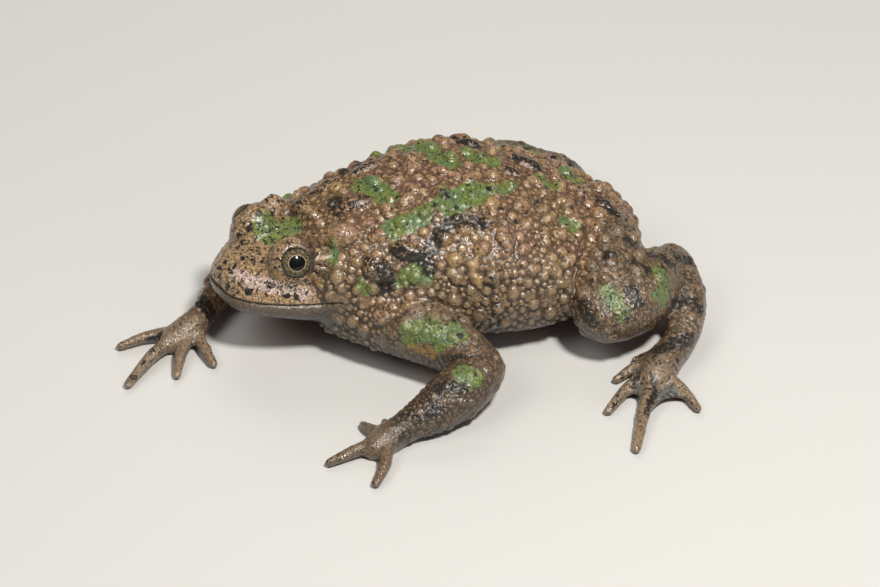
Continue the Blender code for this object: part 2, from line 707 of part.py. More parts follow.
def main():
    for obj in list(bpy.data.objects):
        bpy.data.objects.remove(obj, do_unlink=True)
    collection = bpy.data.collections.new(NAME)
    cutters = bpy.data.collections.new("cutters")
    for made in (collection, cutters):
        bpy.context.scene.collection.children.link(made)
    body = build_flesh(collection)
    cut_face(body)
    parts = [body]
    for name, point, normal, radius, inside in CUTS:
        parts.append(part_off(body, name, point, normal, radius, inside, collection))
    parts.append(add_eye("eye_left", 1, collection))
    parts.append(add_eye("eye_right", -1, collection))
    for part in parts:
        if part.name.startswith("eye"):
            paint(part, EYE_BLACK, 0.05)
        else:
            paint(part, SKINS.get(part.name.split("_")[0], SKIN), 0.38)
    finish(parts)


if __name__ == "__main__":
    main()
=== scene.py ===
"""The looks of a life-size fire-bellied toad, still, resting on its belly, hands and feet.

The toad faces -Y, its left side is +X and the floor is z = 0. Places are in millimetres in the same
frame that the solids are drawn in, and the last step moves them onto the solids, in metres.
One skin stands for all the flesh: the same bodies are blocked out and fused, and then it gets its
lids, lips, folds and glands in mesh and its colours in nodes. The eyes are balls of their own.
"""

import itertools
import math
import random
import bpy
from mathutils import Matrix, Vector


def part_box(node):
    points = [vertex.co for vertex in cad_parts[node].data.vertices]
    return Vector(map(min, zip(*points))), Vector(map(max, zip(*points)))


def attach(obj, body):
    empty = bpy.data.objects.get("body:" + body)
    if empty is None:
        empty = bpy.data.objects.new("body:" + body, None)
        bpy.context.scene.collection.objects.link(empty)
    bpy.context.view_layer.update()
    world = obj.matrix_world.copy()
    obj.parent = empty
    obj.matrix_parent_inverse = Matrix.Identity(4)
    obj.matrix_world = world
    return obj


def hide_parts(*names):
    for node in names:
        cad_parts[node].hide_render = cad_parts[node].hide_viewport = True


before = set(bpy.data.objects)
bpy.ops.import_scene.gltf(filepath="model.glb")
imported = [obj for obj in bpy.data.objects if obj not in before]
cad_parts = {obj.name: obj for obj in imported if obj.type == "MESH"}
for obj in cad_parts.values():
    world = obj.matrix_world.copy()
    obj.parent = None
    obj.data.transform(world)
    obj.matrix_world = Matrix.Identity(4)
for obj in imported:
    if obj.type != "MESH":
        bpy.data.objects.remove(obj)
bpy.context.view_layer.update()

from types import SimpleNamespace

import bmesh
import bpy
import numpy as np
from mathutils import Matrix, Vector, kdtree
from mathutils.bvhtree import BVHTree

MM = 0.001  # metres in one of the millimetres below
VOXEL = 0.3  # grain of the fused skin, before it is made finer

# The trunk, from the neck to the vent: place along Y, half width, top, bottom.
TRUNK = (
    (-17.0, 11.0, 17.2, 4.0),
    (-12.0, 12.8, 19.2, 2.4),
    (-6.0, 14.4, 20.8, 1.2),
    (1.0, 16.3, 21.8, 0.2),
    (8.0, 17.6, 21.4, -0.3),
    (15.0, 17.0, 18.8, -0.3),
    (21.0, 14.4, 15.8, 0.4),
    (26.0, 10.9, 13.6, 2.0),
    (29.5, 6.8, 11.4, 4.0),
    (31.4, 3.2, 9.6, 5.8),
)

# The head has its own frame: +Y back from the snout, +X to its left, +Z up, the mouth at z = 0.
HEAD_ORIGIN = (4.6, -30.3, 10.0)  # the tip of the snout
HEAD_YAW = math.radians(19)  # turned to the toad's left
HEAD_PITCH = math.radians(8)  # the snout held up
HEAD = (  # back from the snout, half width, top, bottom
    (0.5, 3.0, 1.9, -1.3),
    (1.6, 4.8, 3.1, -2.1),
    (3.6, 6.7, 4.4, -2.5),
    (6.5, 8.6, 5.6, -3.0),
    (10.0, 10.2, 6.8, -3.7),
    (14.0, 11.4, 8.2, -4.7),
    (18.0, 11.6, 9.4, -5.4),
    (22.0, 10.4, 9.6, -4.6),
)
EYE_PLACE = (5.9, 8.2, 6.2)  # the left eye's centre
EYE_RADIUS = 2.5
EYE_LOOK = (0.82, -0.34, 0.46)  # the way the left eye looks
FLESH_BALL = (0.8, 3.4)  # the flesh round an eye: how far it is set back, and its radius
LID_SET_BACK = 0.75  # the lids' ball sits this far behind the eye, which opens them in front
LID_RADIUS = 3.0
LID_BLEND = 0.55  # how softly the lids run into the head
MOUTH_BACK = 13.5  # the mouth's corners, back from the snout
MOUTH_RISE = 0.55  # at the snout, the line between the lips stands this far above the widest line
MOUTH_SLOPE = 0.065  # rises by this much for each step back
MOUTH_CORNER = 0.5  # and by this much more at its corners
NOSTRIL = (1.7, 1.5, 2.2)

WEBS = ((0, 1, 0.7), (1, 2, 0.7), (2, 3, 0.66), (3, 4, 0.7))  # between which toes, and how far out
WEB_THICKNESS = 0.7
WEB_HOLLOW = 0.34  # how much of its reach a web's edge gives up in the middle
WEB_STEPS = 6

# The limbs, as rows of x, y, z and radius from the body outward.
ARM_LEFT = {
    "upper_arm": (
        (6.5, -12.5, 6.8, 5.4),
        (14.0, -5.8, 6.6, 4.9),
        (20.2, -0.4, 5.9, 3.9),
        (24.6, 2.2, 4.9, 3.3),
    ),
    "forearm": (
        (24.8, 2.2, 4.8, 3.3),
        (27.4, -1.6, 4.2, 3.8),
        (29.5, -6.2, 3.1, 3.2),
        (30.4, -10.2, 2.1, 2.2),
    ),
    "palm": ((30.3, -9.4, 2.1, 2.1), (31.2, -12.2, 1.5, 2.3), (32.6, -14.8, 1.1, 2.0)),
    "digits": (
        ((29.9, -11.2, 1.4, 0.95), (28.2, -12.2, 1.0, 0.75), (26.6, -12.2, 0.6, 0.64)),
        ((30.6, -13.0, 1.3, 1.05), (28.6, -14.6, 1.1, 0.85), (26.8, -15.3, 0.6, 0.64)),
        ((31.8, -14.2, 1.2, 1.15), (32.8, -18.0, 1.2, 0.9), (33.6, -21.6, 0.6, 0.66)),
        ((33.4, -13.6, 1.2, 1.15), (36.6, -14.6, 1.2, 0.9), (39.4, -16.6, 0.62, 0.7)),
    ),
    "webs": (),
}
ARM_RIGHT = {
    "upper_arm": (
        (-7.5, -8.0, 8.4, 4.8),
        (-13.0, -11.8, 7.6, 4.2),
        (-16.4, -16.6, 5.4, 3.1),
        (-15.2, -21.4, 4.0, 2.6),
    ),
    "forearm": (
        (-15.1, -21.6, 3.9, 2.5),
        (-10.2, -25.0, 2.8, 2.4),
        (-4.8, -28.9, 2.5, 2.3),
        (-0.6, -31.8, 2.3, 1.9),
    ),
    "palm": ((-0.9, -31.4, 2.4, 2.0), (0.8, -33.8, 1.7, 2.3), (2.4, -36.4, 1.2, 2.1)),
    "digits": (
        ((2.2, -32.8, 1.4, 1.0), (5.4, -32.6, 1.2, 0.85), (8.4, -32.0, 0.64, 0.7)),
        ((2.8, -34.6, 1.4, 1.1), (6.2, -36.2, 1.3, 0.9), (9.6, -37.4, 0.6, 0.66)),
        ((2.4, -36.6, 1.3, 1.15), (5.4, -40.2, 1.3, 0.95), (9.9, -44.3, 0.62, 0.7)),
        ((0.6, -36.6, 1.3, 1.1), (0.4, -40.2, 1.1, 0.85), (1.0, -43.8, 0.6, 0.66)),
    ),
    "webs": (),
}
LEG_LEFT = {
    "thigh": (
        (4.0, 25.5, 8.6, 5.2),
        (9.5, 24.2, 8.6, 5.7),
        (15.0, 22.6, 8.0, 5.4),
        (18.8, 21.0, 7.2, 4.5),
    ),
    "shank": (
        (19.8, 21.8, 7.1, 4.3),
        (17.8, 26.2, 7.3, 4.6),
        (13.2, 30.4, 7.1, 4.0),
        (9.4, 34.2, 6.4, 3.0),
    ),
    "tarsus": (
        (9.6, 34.6, 6.0, 2.9),
        (15.4, 34.6, 4.4, 2.8),
        (20.3, 32.6, 3.0, 2.6),
        (23.6, 30.2, 2.2, 2.3),
    ),
    "palm": ((22.8, 30.6, 2.2, 2.3), (25.8, 27.6, 1.6, 2.6), (28.4, 25.6, 1.2, 2.4)),
    "digits": (
        ((23.0, 28.8, 1.6, 1.0), (22.6, 26.4, 1.2, 0.8), (22.4, 24.4, 0.6, 0.64)),
        ((24.4, 27.4, 1.5, 1.05), (24.8, 24.0, 1.2, 0.85), (26.2, 20.8, 0.6, 0.66)),
        ((26.2, 26.2, 1.4, 1.1), (29.0, 21.6, 1.2, 0.9), (32.6, 17.6, 0.62, 0.7)),
        ((28.4, 25.4, 1.4, 1.2), (34.4, 22.2, 1.2, 0.95), (41.4, 18.8, 0.64, 0.72)),
        ((28.0, 27.2, 1.4, 1.1), (31.6, 28.8, 1.1, 0.85), (35.2, 29.6, 0.6, 0.66)),
    ),
    "webs": WEBS,
}
LEG_RIGHT = {
    "thigh": (
        (-4.0, 24.0, 8.2, 5.0),
        (-9.5, 21.0, 7.7, 5.3),
        (-15.2, 17.0, 7.2, 5.0),
        (-20.0, 13.6, 6.2, 4.4),
    ),
    "shank": (
        (-21.2, 15.0, 5.8, 4.2),
        (-20.8, 19.6, 5.6, 4.2),
        (-17.4, 23.8, 5.0, 3.5),
        (-13.6, 26.4, 4.2, 2.6),
    ),
    "tarsus": (
        (-13.8, 27.2, 4.0, 2.5),
        (-19.2, 28.2, 3.2, 2.4),
        (-24.0, 26.8, 2.6, 2.3),
        (-26.8, 23.6, 2.1, 2.3),
    ),
    "palm": ((-26.4, 23.8, 2.2, 2.3), (-28.1, 19.9, 1.6, 2.6), (-29.8, 17.0, 1.2, 2.4)),
    "digits": (
        ((-26.2, 20.4, 1.5, 1.0), (-26.0, 17.3, 1.2, 0.8), (-26.1, 15.0, 0.6, 0.64)),
        ((-27.2, 18.9, 1.5, 1.05), (-27.4, 14.7, 1.2, 0.85), (-27.8, 11.3, 0.6, 0.66)),
        ((-28.5, 17.5, 1.4, 1.1), (-29.7, 12.1, 1.2, 0.9), (-30.9, 7.0, 0.62, 0.7)),
        ((-29.8, 16.8, 1.4, 1.2), (-33.2, 11.6, 1.2, 0.95), (-36.7, 5.8, 0.64, 0.72)),
        ((-30.0, 18.4, 1.4, 1.1), (-33.4, 17.3, 1.1, 0.85), (-36.4, 15.3, 0.6, 0.66)),
    ),
    "webs": WEBS,
}
LIMBS = {
    "arm_left": ARM_LEFT,
    "arm_right": ARM_RIGHT,
    "leg_left": LEG_LEFT,
    "leg_right": LEG_RIGHT,
}

# The named glands: place on the skin, half length, half width, heading in plan, in degrees, and height.
GLANDS = (
    (7.0, -13.5, 19.0, 2.8, 1.95, 77, 1.6),  # behind the left eye
    (-5.5, -19.5, 16.5, 2.1, 1.9, 50, 2.3),  # behind the right eye
    (2.5, -10.5, 20.5, 3.0, 1.5, 90, 1.15),
    (-3.0, -17.5, 17.5, 1.9, 1.5, 0, 0.95),
    (-4.5, -13.0, 19.0, 2.8, 1.25, 95, 0.8),
    (11.5, -5.0, 17.0, 2.6, 1.4, 53, 0.95),
    (12.5, -9.5, 15.5, 2.8, 1.8, 20, 1.2),
    (-5.5, -6.5, 20.5, 2.8, 1.1, 98, 0.8),
    (-4.5, 0.0, 21.5, 1.5, 1.2, 22, 0.75),
    (-2.5, 5.0, 22.5, 1.3, 1.2, 72, 0.9),
    (5.0, 1.5, 22.0, 1.2, 1.1, 45, 0.9),
    (-7.5, 9.0, 20.0, 1.8, 1.0, 48, 0.7),
    (-3.5, 16.5, 18.0, 2.6, 1.4, 63, 0.9),
    (0.5, 23.0, 15.0, 1.6, 1.0, 18, 0.7),
    (4.5, 20.0, 16.0, 1.3, 1.1, 76, 0.7),
    (8.0, 8.0, 20.5, 1.3, 1.2, 99, 0.85),
    (17.0, 6.0, 14.5, 1.5, 1.4, 86, 1.1),
    (14.5, 1.0, 16.5, 1.2, 1.1, 85, 0.75),
    (15.5, 1.0, 14.0, 1.1, 1.0, 60, 0.65),
    (14.0, 11.0, 16.0, 1.1, 1.0, 90, 0.65),
    (11.5, 14.5, 16.5, 1.1, 1.0, 84, 0.65),
    (7.5, 12.5, 19.0, 1.4, 1.1, 105, 0.65),
    (-9.5, -1.0, 19.0, 1.7, 1.2, 80, 0.8),
    (-11.0, 8.5, 17.5, 1.6, 1.3, 70, 0.8),
    (-14.5, 2.0, 14.5, 1.5, 1.3, 80, 0.8),
)
FILL_SPACING = 3.4  # about how far apart the unnamed glands stand
FILL_RADIUS = (1.1, 1.6)
FILL_HEIGHT = (0.42, 0.64)
EAST = np.array((1.0, 0.0, 0.0))  # the long axis of a round gland, which can be any

# Smaller glands, only in the skin: place, radius and height.
SMALL_GLANDS = (
    (15.0, 3.5, 15.4, 0.95, 0.60),
    (14.2, 4.7, 17.3, 1.05, 0.60),
    (16.1, 3.6, 13.8, 0.95, 0.60),
    (16.0, 0.3, 11.3, 0.95, 0.62),
    (17.4, 8.2, 10.9, 0.85, 0.55),
    (16.1, 15.4, 11.2, 0.95, 0.60),
    (14.7, 8.1, 16.7, 0.90, 0.50),
    (15.5, 14.0, 13.3, 0.80, 0.50),
    (7.9, 20.7, 14.7, 0.90, 0.50),
    (12.1, 8.4, 18.2, 0.95, 0.55),
    (11.6, -14.5, 12.8, 0.90, 0.60),
    (11.6, 3.9, 19.4, 0.95, 0.50),
    (2.4, 0.9, 21.8, 0.85, 0.50),
    (6.2, -6.3, 19.7, 0.90, 0.50),
    (6.4, -9.2, 19.2, 0.80, 0.42),
    (10.5, -12.0, 15.8, 0.75, 0.40),
    (2.2, 4.7, 22.3, 0.85, 0.48),
    (-2.2, 11.6, 20.3, 0.95, 0.52),
    (7.3, 16.0, 18.1, 0.85, 0.50),
    (4.6, -3.2, 21.8, 1.00, 0.60),
    (-2.9, -11.5, 19.1, 1.15, 0.72),
    (-4.9, -19.6, 16.9, 1.90, 2.05),
)
MOTTLED = (2, 3, 4, 5, 6, 7, 11, 12, 13, 16)  # the named glands with black flecks all over
AMBER = (9, 15, 17, 25, 26, 27, 45)  # the amber ones, the smaller glands counted after the named ones

# The marks on the skin, each a line of points with the reach to its sides.
GREEN = (
    (2.1, (-0.6, -22.1, 16.5), (0.7, -21.1, 15.2), (0.0, -18.8, 15.6)),
    (0.75, (7.3, -14.5, 17.4), (8.5, -14.6, 15.9), (10.2, -14.7, 15.1)),
    (0.9, (12.3, -11.3, 12.9), (12.7, -10.9, 12.4)),
    (1.3, (13.6, -5.9, 13.8), (13.5, -4.0, 15.0), (14.1, -3.3, 14.3)),
    (1.6, (-1.3, -8.1, 20.2), (1.2, -6.5, 20.6), (3.6, -5.6, 21.0)),
    (1.7, (8.4, -6.0, 18.9), (8.8, -3.9, 19.8), (8.3, -1.8, 20.4)),
    (0.8, (8.3, -1.8, 20.4), (6.5, 0.4, 20.8), (5.4, 2.2, 21.0)),
    (2.3, (7.3, 2.5, 20.7), (6.4, 4.7, 21.0), (5.9, 6.6, 21.1)),
    (1.6, (-10.0, 0.1, 19.6), (-7.6, 1.8, 20.6), (-5.6, 3.1, 21.3)),
    (1.5, (-2.8, 3.2, 21.7), (-0.8, 4.4, 21.8)),
    (1.1, (-4.6, 8.0, 21.4), (-3.4, 8.0, 21.5)),
    (1.5, (-2.3, 8.6, 21.1), (-1.5, 10.4, 20.6)),
    (1.1, (5.5, 9.8, 20.9), (4.0, 12.0, 20.1)),
    (1.3, (0.1, 17.0, 17.8), (1.4, 18.7, 17.3)),
    (1.1, (8.6, 18.6, 15.7), (9.1, 19.6, 14.8)),
    (1.9, (19.1, -6.3, 8.6), (19.7, -4.5, 9.4), (21.3, -3.0, 8.9), (21.2, -1.2, 9.5)),
    (1.5, (28.0, -1.7, 7.8), (29.0, -0.3, 7.2)),
    (1.2, (20.2, 21.2, 11.3), (22.0, 21.8, 10.4), (22.9, 22.4, 9.6)),
    (1.5, (17.5, 29.6, 11.3), (19.0, 29.7, 10.2), (20.7, 28.9, 9.2)),
    (1.5, (-10.4, -3.0, 18.6), (-12.2, -1.0, 17.2)),
    (1.6, (-11.6, 11.0, 17.4), (-12.6, 13.6, 16.0)),
    (1.4, (-14.8, 17.6, 12.0), (-16.6, 16.4, 11.4)),
    (1.4, (-19.4, 20.0, 9.2), (-18.4, 22.2, 8.4)),
    (1.3, (-14.6, -13.6, 10.6), (-15.6, -15.4, 9.2)),
    (1.4, (-2.4, 23.4, 15.6), (-4.2, 22.2, 15.4)),
)
BLACK = (
    (0.75, (11.3, -6.4, 17.0), (12.6, -5.2, 16.6), (12.9, -3.5, 16.5)),
    (1.0, (12.9, -3.5, 16.5), (12.5, -2.0, 17.4), (11.3, -0.7, 18.3), (10.8, 0.1, 19.4)),
    (0.95, (10.8, 0.1, 19.4), (9.9, 1.8, 19.6), (10.3, 3.9, 19.5), (11.1, 6.0, 19.3)),
    (0.9, (14.0, -2.6, 15.2), (12.9, -3.0, 16.5)),
    (1.2, (12.3, -8.7, 16.0), (13.3, -8.2, 14.7), (13.4, -8.5, 13.1)),
    (1.0, (0.3, -12.4, 19.0), (1.6, -12.2, 19.4)),
    (0.8, (-2.8, -17.9, 16.6), (-2.9, -17.0, 17.8)),
    (0.7, (5.6, 1.2, 22.0), (6.0, 1.9, 21.6)),
    (0.9, (-7.2, -9.3, 19.0), (-8.2, -7.3, 18.7), (-5.2, -6.3, 20.8)),
    (0.8, (-8.3, 7.3, 20.2), (-7.3, 8.5, 20.6), (-6.3, 9.7, 20.3)),
    (0.8, (-4.0, 14.9, 18.9), (-3.4, 16.5, 18.7), (-2.2, 18.0, 17.5)),
    (0.6, (0.5, 12.4, 19.9), (0.7, 13.3, 19.5)),
    (0.7, (2.0, 25.6, 13.8), (5.6, 26.6, 13.6)),
    (0.75, (29.1, -5.4, 6.6), (29.5, -3.7, 7.1), (30.3, -2.4, 6.5)),
    (0.70, (31.6, -7.4, 4.9), (31.7, -6.0, 5.1)),
    (0.30, (30.8, -9.9, 4.4), (31.9, -8.6, 4.3)),
    (0.35, (33.2, -11.7, 2.2), (32.6, -10.4, 2.8)),
    (0.35, (23.0, -2.9, 6.4), (24.6, -1.3, 7.6), (25.2, 0.2, 8.0)),
    (0.45, (22.0, -0.4, 9.2)),
    (0.7, (11.6, 26.7, 13.2), (12.6, 28.6, 12.2), (13.4, 30.7, 10.9), (14.8, 32.0, 10.3)),
    (0.8, (15.8, 26.6, 12.0), (17.1, 27.7, 11.6)),
    (0.85, (20.6, 24.5, 11.2), (22.2, 24.9, 10.0)),
    (0.8, (19.8, 17.6, 9.3), (22.0, 18.4, 8.0)),
    (0.5, (15.1, 22.4, 13.3), (15.2, 24.1, 13.7)),
    (0.75, (18.9, 31.1, 6.1), (18.2, 33.4, 6.2), (19.3, 35.1, 5.3)),
    (0.95, (25.3, 27.0, 3.9), (24.8, 29.2, 4.2), (24.0, 32.1, 3.7)),
    (0.7, (12.6, 33.9, 9.5), (11.9, 36.0, 7.9)),
    (0.35, (30.1, 24.9, 2.7), (31.7, 24.7, 1.9), (33.8, 23.2, 2.0), (35.9, 21.9, 1.8)),
    (0.35, (27.5, 23.8, 2.4), (29.0, 22.4, 2.0)),
    (0.5, (1.3, -39.3, 1.1), (1.6, -38.2, 1.8)),
    (0.35, (9.3, -43.4, 1.3)),
    (1.0, (-2.3, -31.6, 4.0), (-0.3, -31.1, 4.0), (0.4, -30.5, 3.0)),
    (1.0, (-10.4, -6.2, 18.2), (-12.0, -4.4, 16.8), (-12.6, -2.4, 15.8)),
    (1.0, (-9.8, 7.6, 19.2), (-11.6, 6.4, 18.0), (-13.4, 5.8, 16.2)),
    (0.8, (-9.4, -24.6, 5.0), (-8.2, -26.0, 5.0)),
    (0.8, (-19.6, 26.6, 5.4), (-20.4, 29.0, 4.6)),
    (0.9, (-25.2, 23.0, 4.4), (-27.6, 24.4, 3.6)),
    (0.8, (-18.6, 17.4, 9.8), (-20.8, 17.6, 9.6)),
    (0.8, (-16.4, 22.4, 8.6), (-18.2, 24.4, 7.8)),
)
SPOTS = (
    (0.50, (5.7, -29.0, 11.4)),
    (0.48, (8.0, -26.6, 11.7)),
    (0.36, (9.9, -21.5, 11.4)),
    (0.36, (10.2, -20.4, 11.1)),
    (0.34, (3.0, -26.2, 13.9)),
    (0.30, (4.0, -25.1, 14.1)),
    (0.30, (-0.9, -25.7, 15.1)),
    (0.30, (5.0, -23.9, 14.2)),
    (0.26, (3.5, -22.4, 14.9)),
    (0.34, (1.9, -28.5, 12.9)),
    (0.24, (12.0, -14.2, 12.2)),
    (0.26, (14.3, 18.0, 12.4)),
    (0.26, (17.6, 17.6, 10.6)),
)
ORANGE = (
    (0.8, (19.7, -6.5, 6.7), (20.9, -5.1, 6.6), (21.8, -4.0, 6.8)),
    (0.5, (9.3, -17.9, 13.7), (9.9, -16.9, 12.9)),
    (0.9, (7.0, -23.2, 14.6), (8.9, -22.2, 14.0)),
    (0.5, (8.9, -24.9, 11.7), (9.3, -23.9, 11.5)),
)
# A pale pinkish band under the left eye: mostly a painted sheen of the wet skin, on skin a little paler
# there.
PALE_SHEEN = (
    (1.0, (5.0, -27.8, 12.9), (6.8, -26.3, 12.8), (8.0, -24.6, 12.7), (9.0, -22.9, 12.4)),
    (0.8, (9.0, -22.9, 12.4), (9.6, -21.1, 12.0), (10.2, -19.0, 11.3)),
)

MARKS = {  # how soft the edge of each kind is, and its marks
    "green": (1.1, GREEN),
    "black": (0.8, BLACK),
    "spot": (0.12, SPOTS),
    "orange": (0.7, ORANGE),
    "pale": (0.5, PALE_SHEEN),
}

# Folds in the skin: depth, half width and the line they follow.
FOLDS = (
    (0.36, 0.28, (6, 22.3, 14.5), (11, 20.3, 13.9), (14.2, 18.6, 12.2), (17, 17, 10.2), (18.3, 17, 6.8)),
    (0.34, 0.24, (15.7, -11.1, 7.8), (16.8, -8.8, 9.3), (16.5, -5.6, 11), (16, -1.5, 10.8), (19.3, 1.2, 9)),
    (0.22, 0.22, (12.4, -13.9, 10.0), (12.8, -13.2, 8.8), (13.9, -13.2, 7.6)),
    (0.22, 0.20, (22.9, -3.0, 6.0), (24.3, -1.7, 7.4), (25.4, 0.1, 8.0), (24.9, 1.9, 8.2)),
    (0.22, 0.22, (13.7, 22.8, 13.6), (15.5, 21.4, 13.1), (17.3, 20.5, 12.3)),
    (0.30, 0.28, (-6.0, 21.0, 15.0), (-11.0, 17.4, 13.6), (-14.6, 13.4, 11.0), (-16.6, 12.0, 8.0)),
    (0.28, 0.24, (-11.0, -13.0, 11.0), (-14.0, -9.6, 11.6), (-15.4, -6.2, 9.6)),
)
FOLD_SHADE_FULL = 0.34  # a fold this deep gets the darkest painted shade

# How the lids lie, by the angle from the way the eye looks, in degrees.
LID_RIM = (53, 59)  # the skin rises to the rim of the lids between these
LID_HUG = (57, 2.58, 0.030)  # from this angle, how near the eye they keep and how much more a degree
LID_LOOSE = (86, 68)  # they hug the eye fully under 68 and not at all beyond 86
LID_SOCKET = 2.2  # how near the eye's centre the skin lies behind the eye
LID_SWELL = (64, 4.5, 0.04)  # the swollen rim: angle, width and height
LID_FOLDS = ((69, 1.4, 0.07, 0.3), (86, 2.6, 0.08, 0.4))  # angle, width, depth, share under the eye
LID_SHADE_LINES = ((57, 1.5, 0.9), (69, 1.3, 0.3), (86, 2.2, 0.2))  # the lines of painted shade in the lids' folds and at their rim: angle, width, strength

# How hard the fused skin is drawn smooth, and in how many rounds.
BODY_RELAX = (0.5, 36)  # all but the digits and webs
SKIN_RELAX = (0.4, 4)
LID_RELAX = (0.3, 2)

# The small glands in the skin.
SMALL_ROUNDS = ((2.15, 700), (1.45, 2200), (1.0, 26000), (0.66, 50000))  # scale, and how many are tried
SMALL_VARY = (0.82, 1.18)  # each one's radius against the wanted one
SMALL_SHARE = 3  # one point in so many may carry one
SHELF = 2.4  # their spots are kept in cubes of this size, so that near ones are found fast
AROUND = tuple(itertools.product((-1, 0, 1), repeat=3))  # from a cube to itself and its neighbours
BIG_POWER = 0.7  # how blunt the large domes are, less is blunter
SMALL_POWER = 0.52

SKIN_DEPTH = 0.78  # the skin's colours against the way they look through the wet film

# Where the camera stands and what it looks at, in the toad's millimetres, and the width of its view.
CAMERA = (346.2, -90.0, 260.7)
CAMERA_AIM = (10.2, 0.0, 8.0)
VIEW_WIDTH = 880 / 3096.0
SENSOR = 36.0
LIGHTS = (  # name, place in metres, shape, size, power, colour and whether it glints on the film
    ("flash", (0.212, 0.074, 0.405), "DISK", 0.07, 3.0, (1.0, 0.97, 0.91), True),
    ("key", (0.10, -0.35, 0.45), "SQUARE", 0.30, 1.1, (1.0, 0.97, 0.92), False),
    ("fill", (0.46, 0.30, 0.22), "SQUARE", 0.35, 0.45, (0.95, 0.97, 1.0), False),
    ("back", (-0.38, 0.04, 0.32), "SQUARE", 0.30, 1.2, (1.0, 0.98, 0.95), False),
)
FLOOR_HALF = 3.0


def on_side(spot, side):
    """A place given for the left side, with side 1, and its mirror image, with side -1."""
    return Vector((spot[0] * side, spot[1], spot[2]))


def head_frame():
    """Takes the head's own frame to the toad's."""
    pitch = Matrix.Rotation(-HEAD_PITCH, 4, "X")
    yaw = Matrix.Rotation(HEAD_YAW, 4, "Z")
    return Matrix.Translation(HEAD_ORIGIN) @ yaw @ pitch


def to_head(points):
    """The points in the head's own frame."""
    turn = np.array(head_frame().inverted())
    return points @ turn[:3, :3].T + turn[:3, 3]


def eye_spot(side):
    """An eye's centre and the way it looks: side is 1 on the left, -1 on the right."""
    place = head_frame()
    return place @ on_side(EYE_PLACE, side), place.to_3x3() @ on_side(EYE_LOOK, side).normalized()


def smooth_rows(rows, steps):
    """Catmull-Rom rows through the given rows of numbers, with steps to a span."""
    table = np.array(rows, float)
    padded = np.vstack([2 * table[0] - table[1], table, 2 * table[-1] - table[-2]])
    found = []
    for i in range(len(table) - 1):
        a, b, c, d = padded[i : i + 4]
        for t in np.arange(steps) / steps:
            bend = (2 * a - 5 * b + 4 * c - d) * t**2 + (3 * b - a - 3 * c + d) * t**3
            found.append(0.5 * (2 * b + (c - a) * t + bend))
    found.append(table[-1])
    return np.array(found)


def row_at(rows, place):
    """The row at a place that may lie between two rows."""
    low = min(int(place), len(rows) - 2)
    return rows[low] + (rows[low + 1] - rows[low]) * (place - low)


def ring(centre, side, up, half_width, rise, drop, powers, count):
    """A superellipse of points, with its own reach and power above and below the centre."""
    points = []
    for i in range(count):
        angle = 2 * math.pi * i / count
        c, s = math.cos(angle), math.sin(angle)
        power = powers[0] if s > 0 else powers[1]
        x = math.copysign(abs(c) ** (2 / power), c) * half_width
        z = math.copysign(abs(s) ** (2 / power), s) * (rise if s > 0 else drop)
        points.append(centre + side * x + up * z)
    return points


def skin_rings(bm, rings):
    """Adds a closed body through rings of equally many points, with a fan at each end."""
    rows = [[bm.verts.new(p) for p in points] for points in rings]
    count = len(rows[0])
    faces = []
    for near, far in zip(rows, rows[1:]):
        for i in range(count):
            j = (i + 1) % count
            faces.append(bm.faces.new((near[i], near[j], far[j], far[i])))
    for row in (rows[0], rows[-1]):
        hub = bm.verts.new(sum((v.co for v in row), Vector()) / count)
        for i in range(count):
            faces.append(bm.faces.new((row[i], row[(i + 1) % count], hub)))
    bmesh.ops.recalc_face_normals(bm, faces=faces)


def add_trunk(bm):
    """The trunk, broad and low, its belly flatter than its back."""
    side, up = Vector((1, 0, 0)), Vector((0, 0, 1))
    rings = []
    for y, half_width, top, bottom in smooth_rows(TRUNK, 5):
        middle = bottom + 0.44 * (top - bottom)
        rise, drop = top - middle, middle - bottom
        rings.append(ring(Vector((0, y, middle)), side, up, half_width, rise, drop, (2.1, 2.5), 48))
    skin_rings(bm, rings)


def add_head(bm):
    """The head, a blunt wedge whose widest line is the mouth, and a ball of flesh for each eye."""
    place = head_frame()
    side, up = place.to_3x3() @ Vector((1, 0, 0)), place.to_3x3() @ Vector((0, 0, 1))
    rings = []
    for back, half_width, top, bottom in smooth_rows(HEAD, 4):
        centre = place @ Vector((0, back, 0))
        rings.append(ring(centre, side, up, half_width, top, -bottom, (2.3, 2.3), 40))
    skin_rings(bm, rings)
    set_back, radius = FLESH_BALL
    for eye in (1, -1):
        centre, look = eye_spot(eye)
        spot = Matrix.Translation(centre - look * set_back)
        bmesh.ops.create_icosphere(bm, subdivisions=4, radius=radius, matrix=spot)


def add_tube(bm, rows, count=16):
    """A round limb or digit with rounded ends, through rows of x, y, z and radius."""
    path = smooth_rows(rows, 4)
    points = [Vector(row[:3]) for row in path]
    last = len(points) - 1
    rings = []
    for i, point in enumerate(points):
        along = (points[min(i + 1, last)] - points[max(i - 1, 0)]).normalized()
        side = along.cross(Vector((0, 0, 1))).normalized()
        up = side.cross(along).normalized()
        turns = {0: (-70, -40, 0), last: (0, 40, 70)}.get(i, (0,))
        for degrees in turns:
            reach = path[i][3] * math.sin(math.radians(degrees))
            radius = path[i][3] * math.cos(math.radians(degrees))
            rings.append(ring(point + along * reach, side, up, radius, radius, radius, (2, 2), count))
    skin_rings(bm, rings)


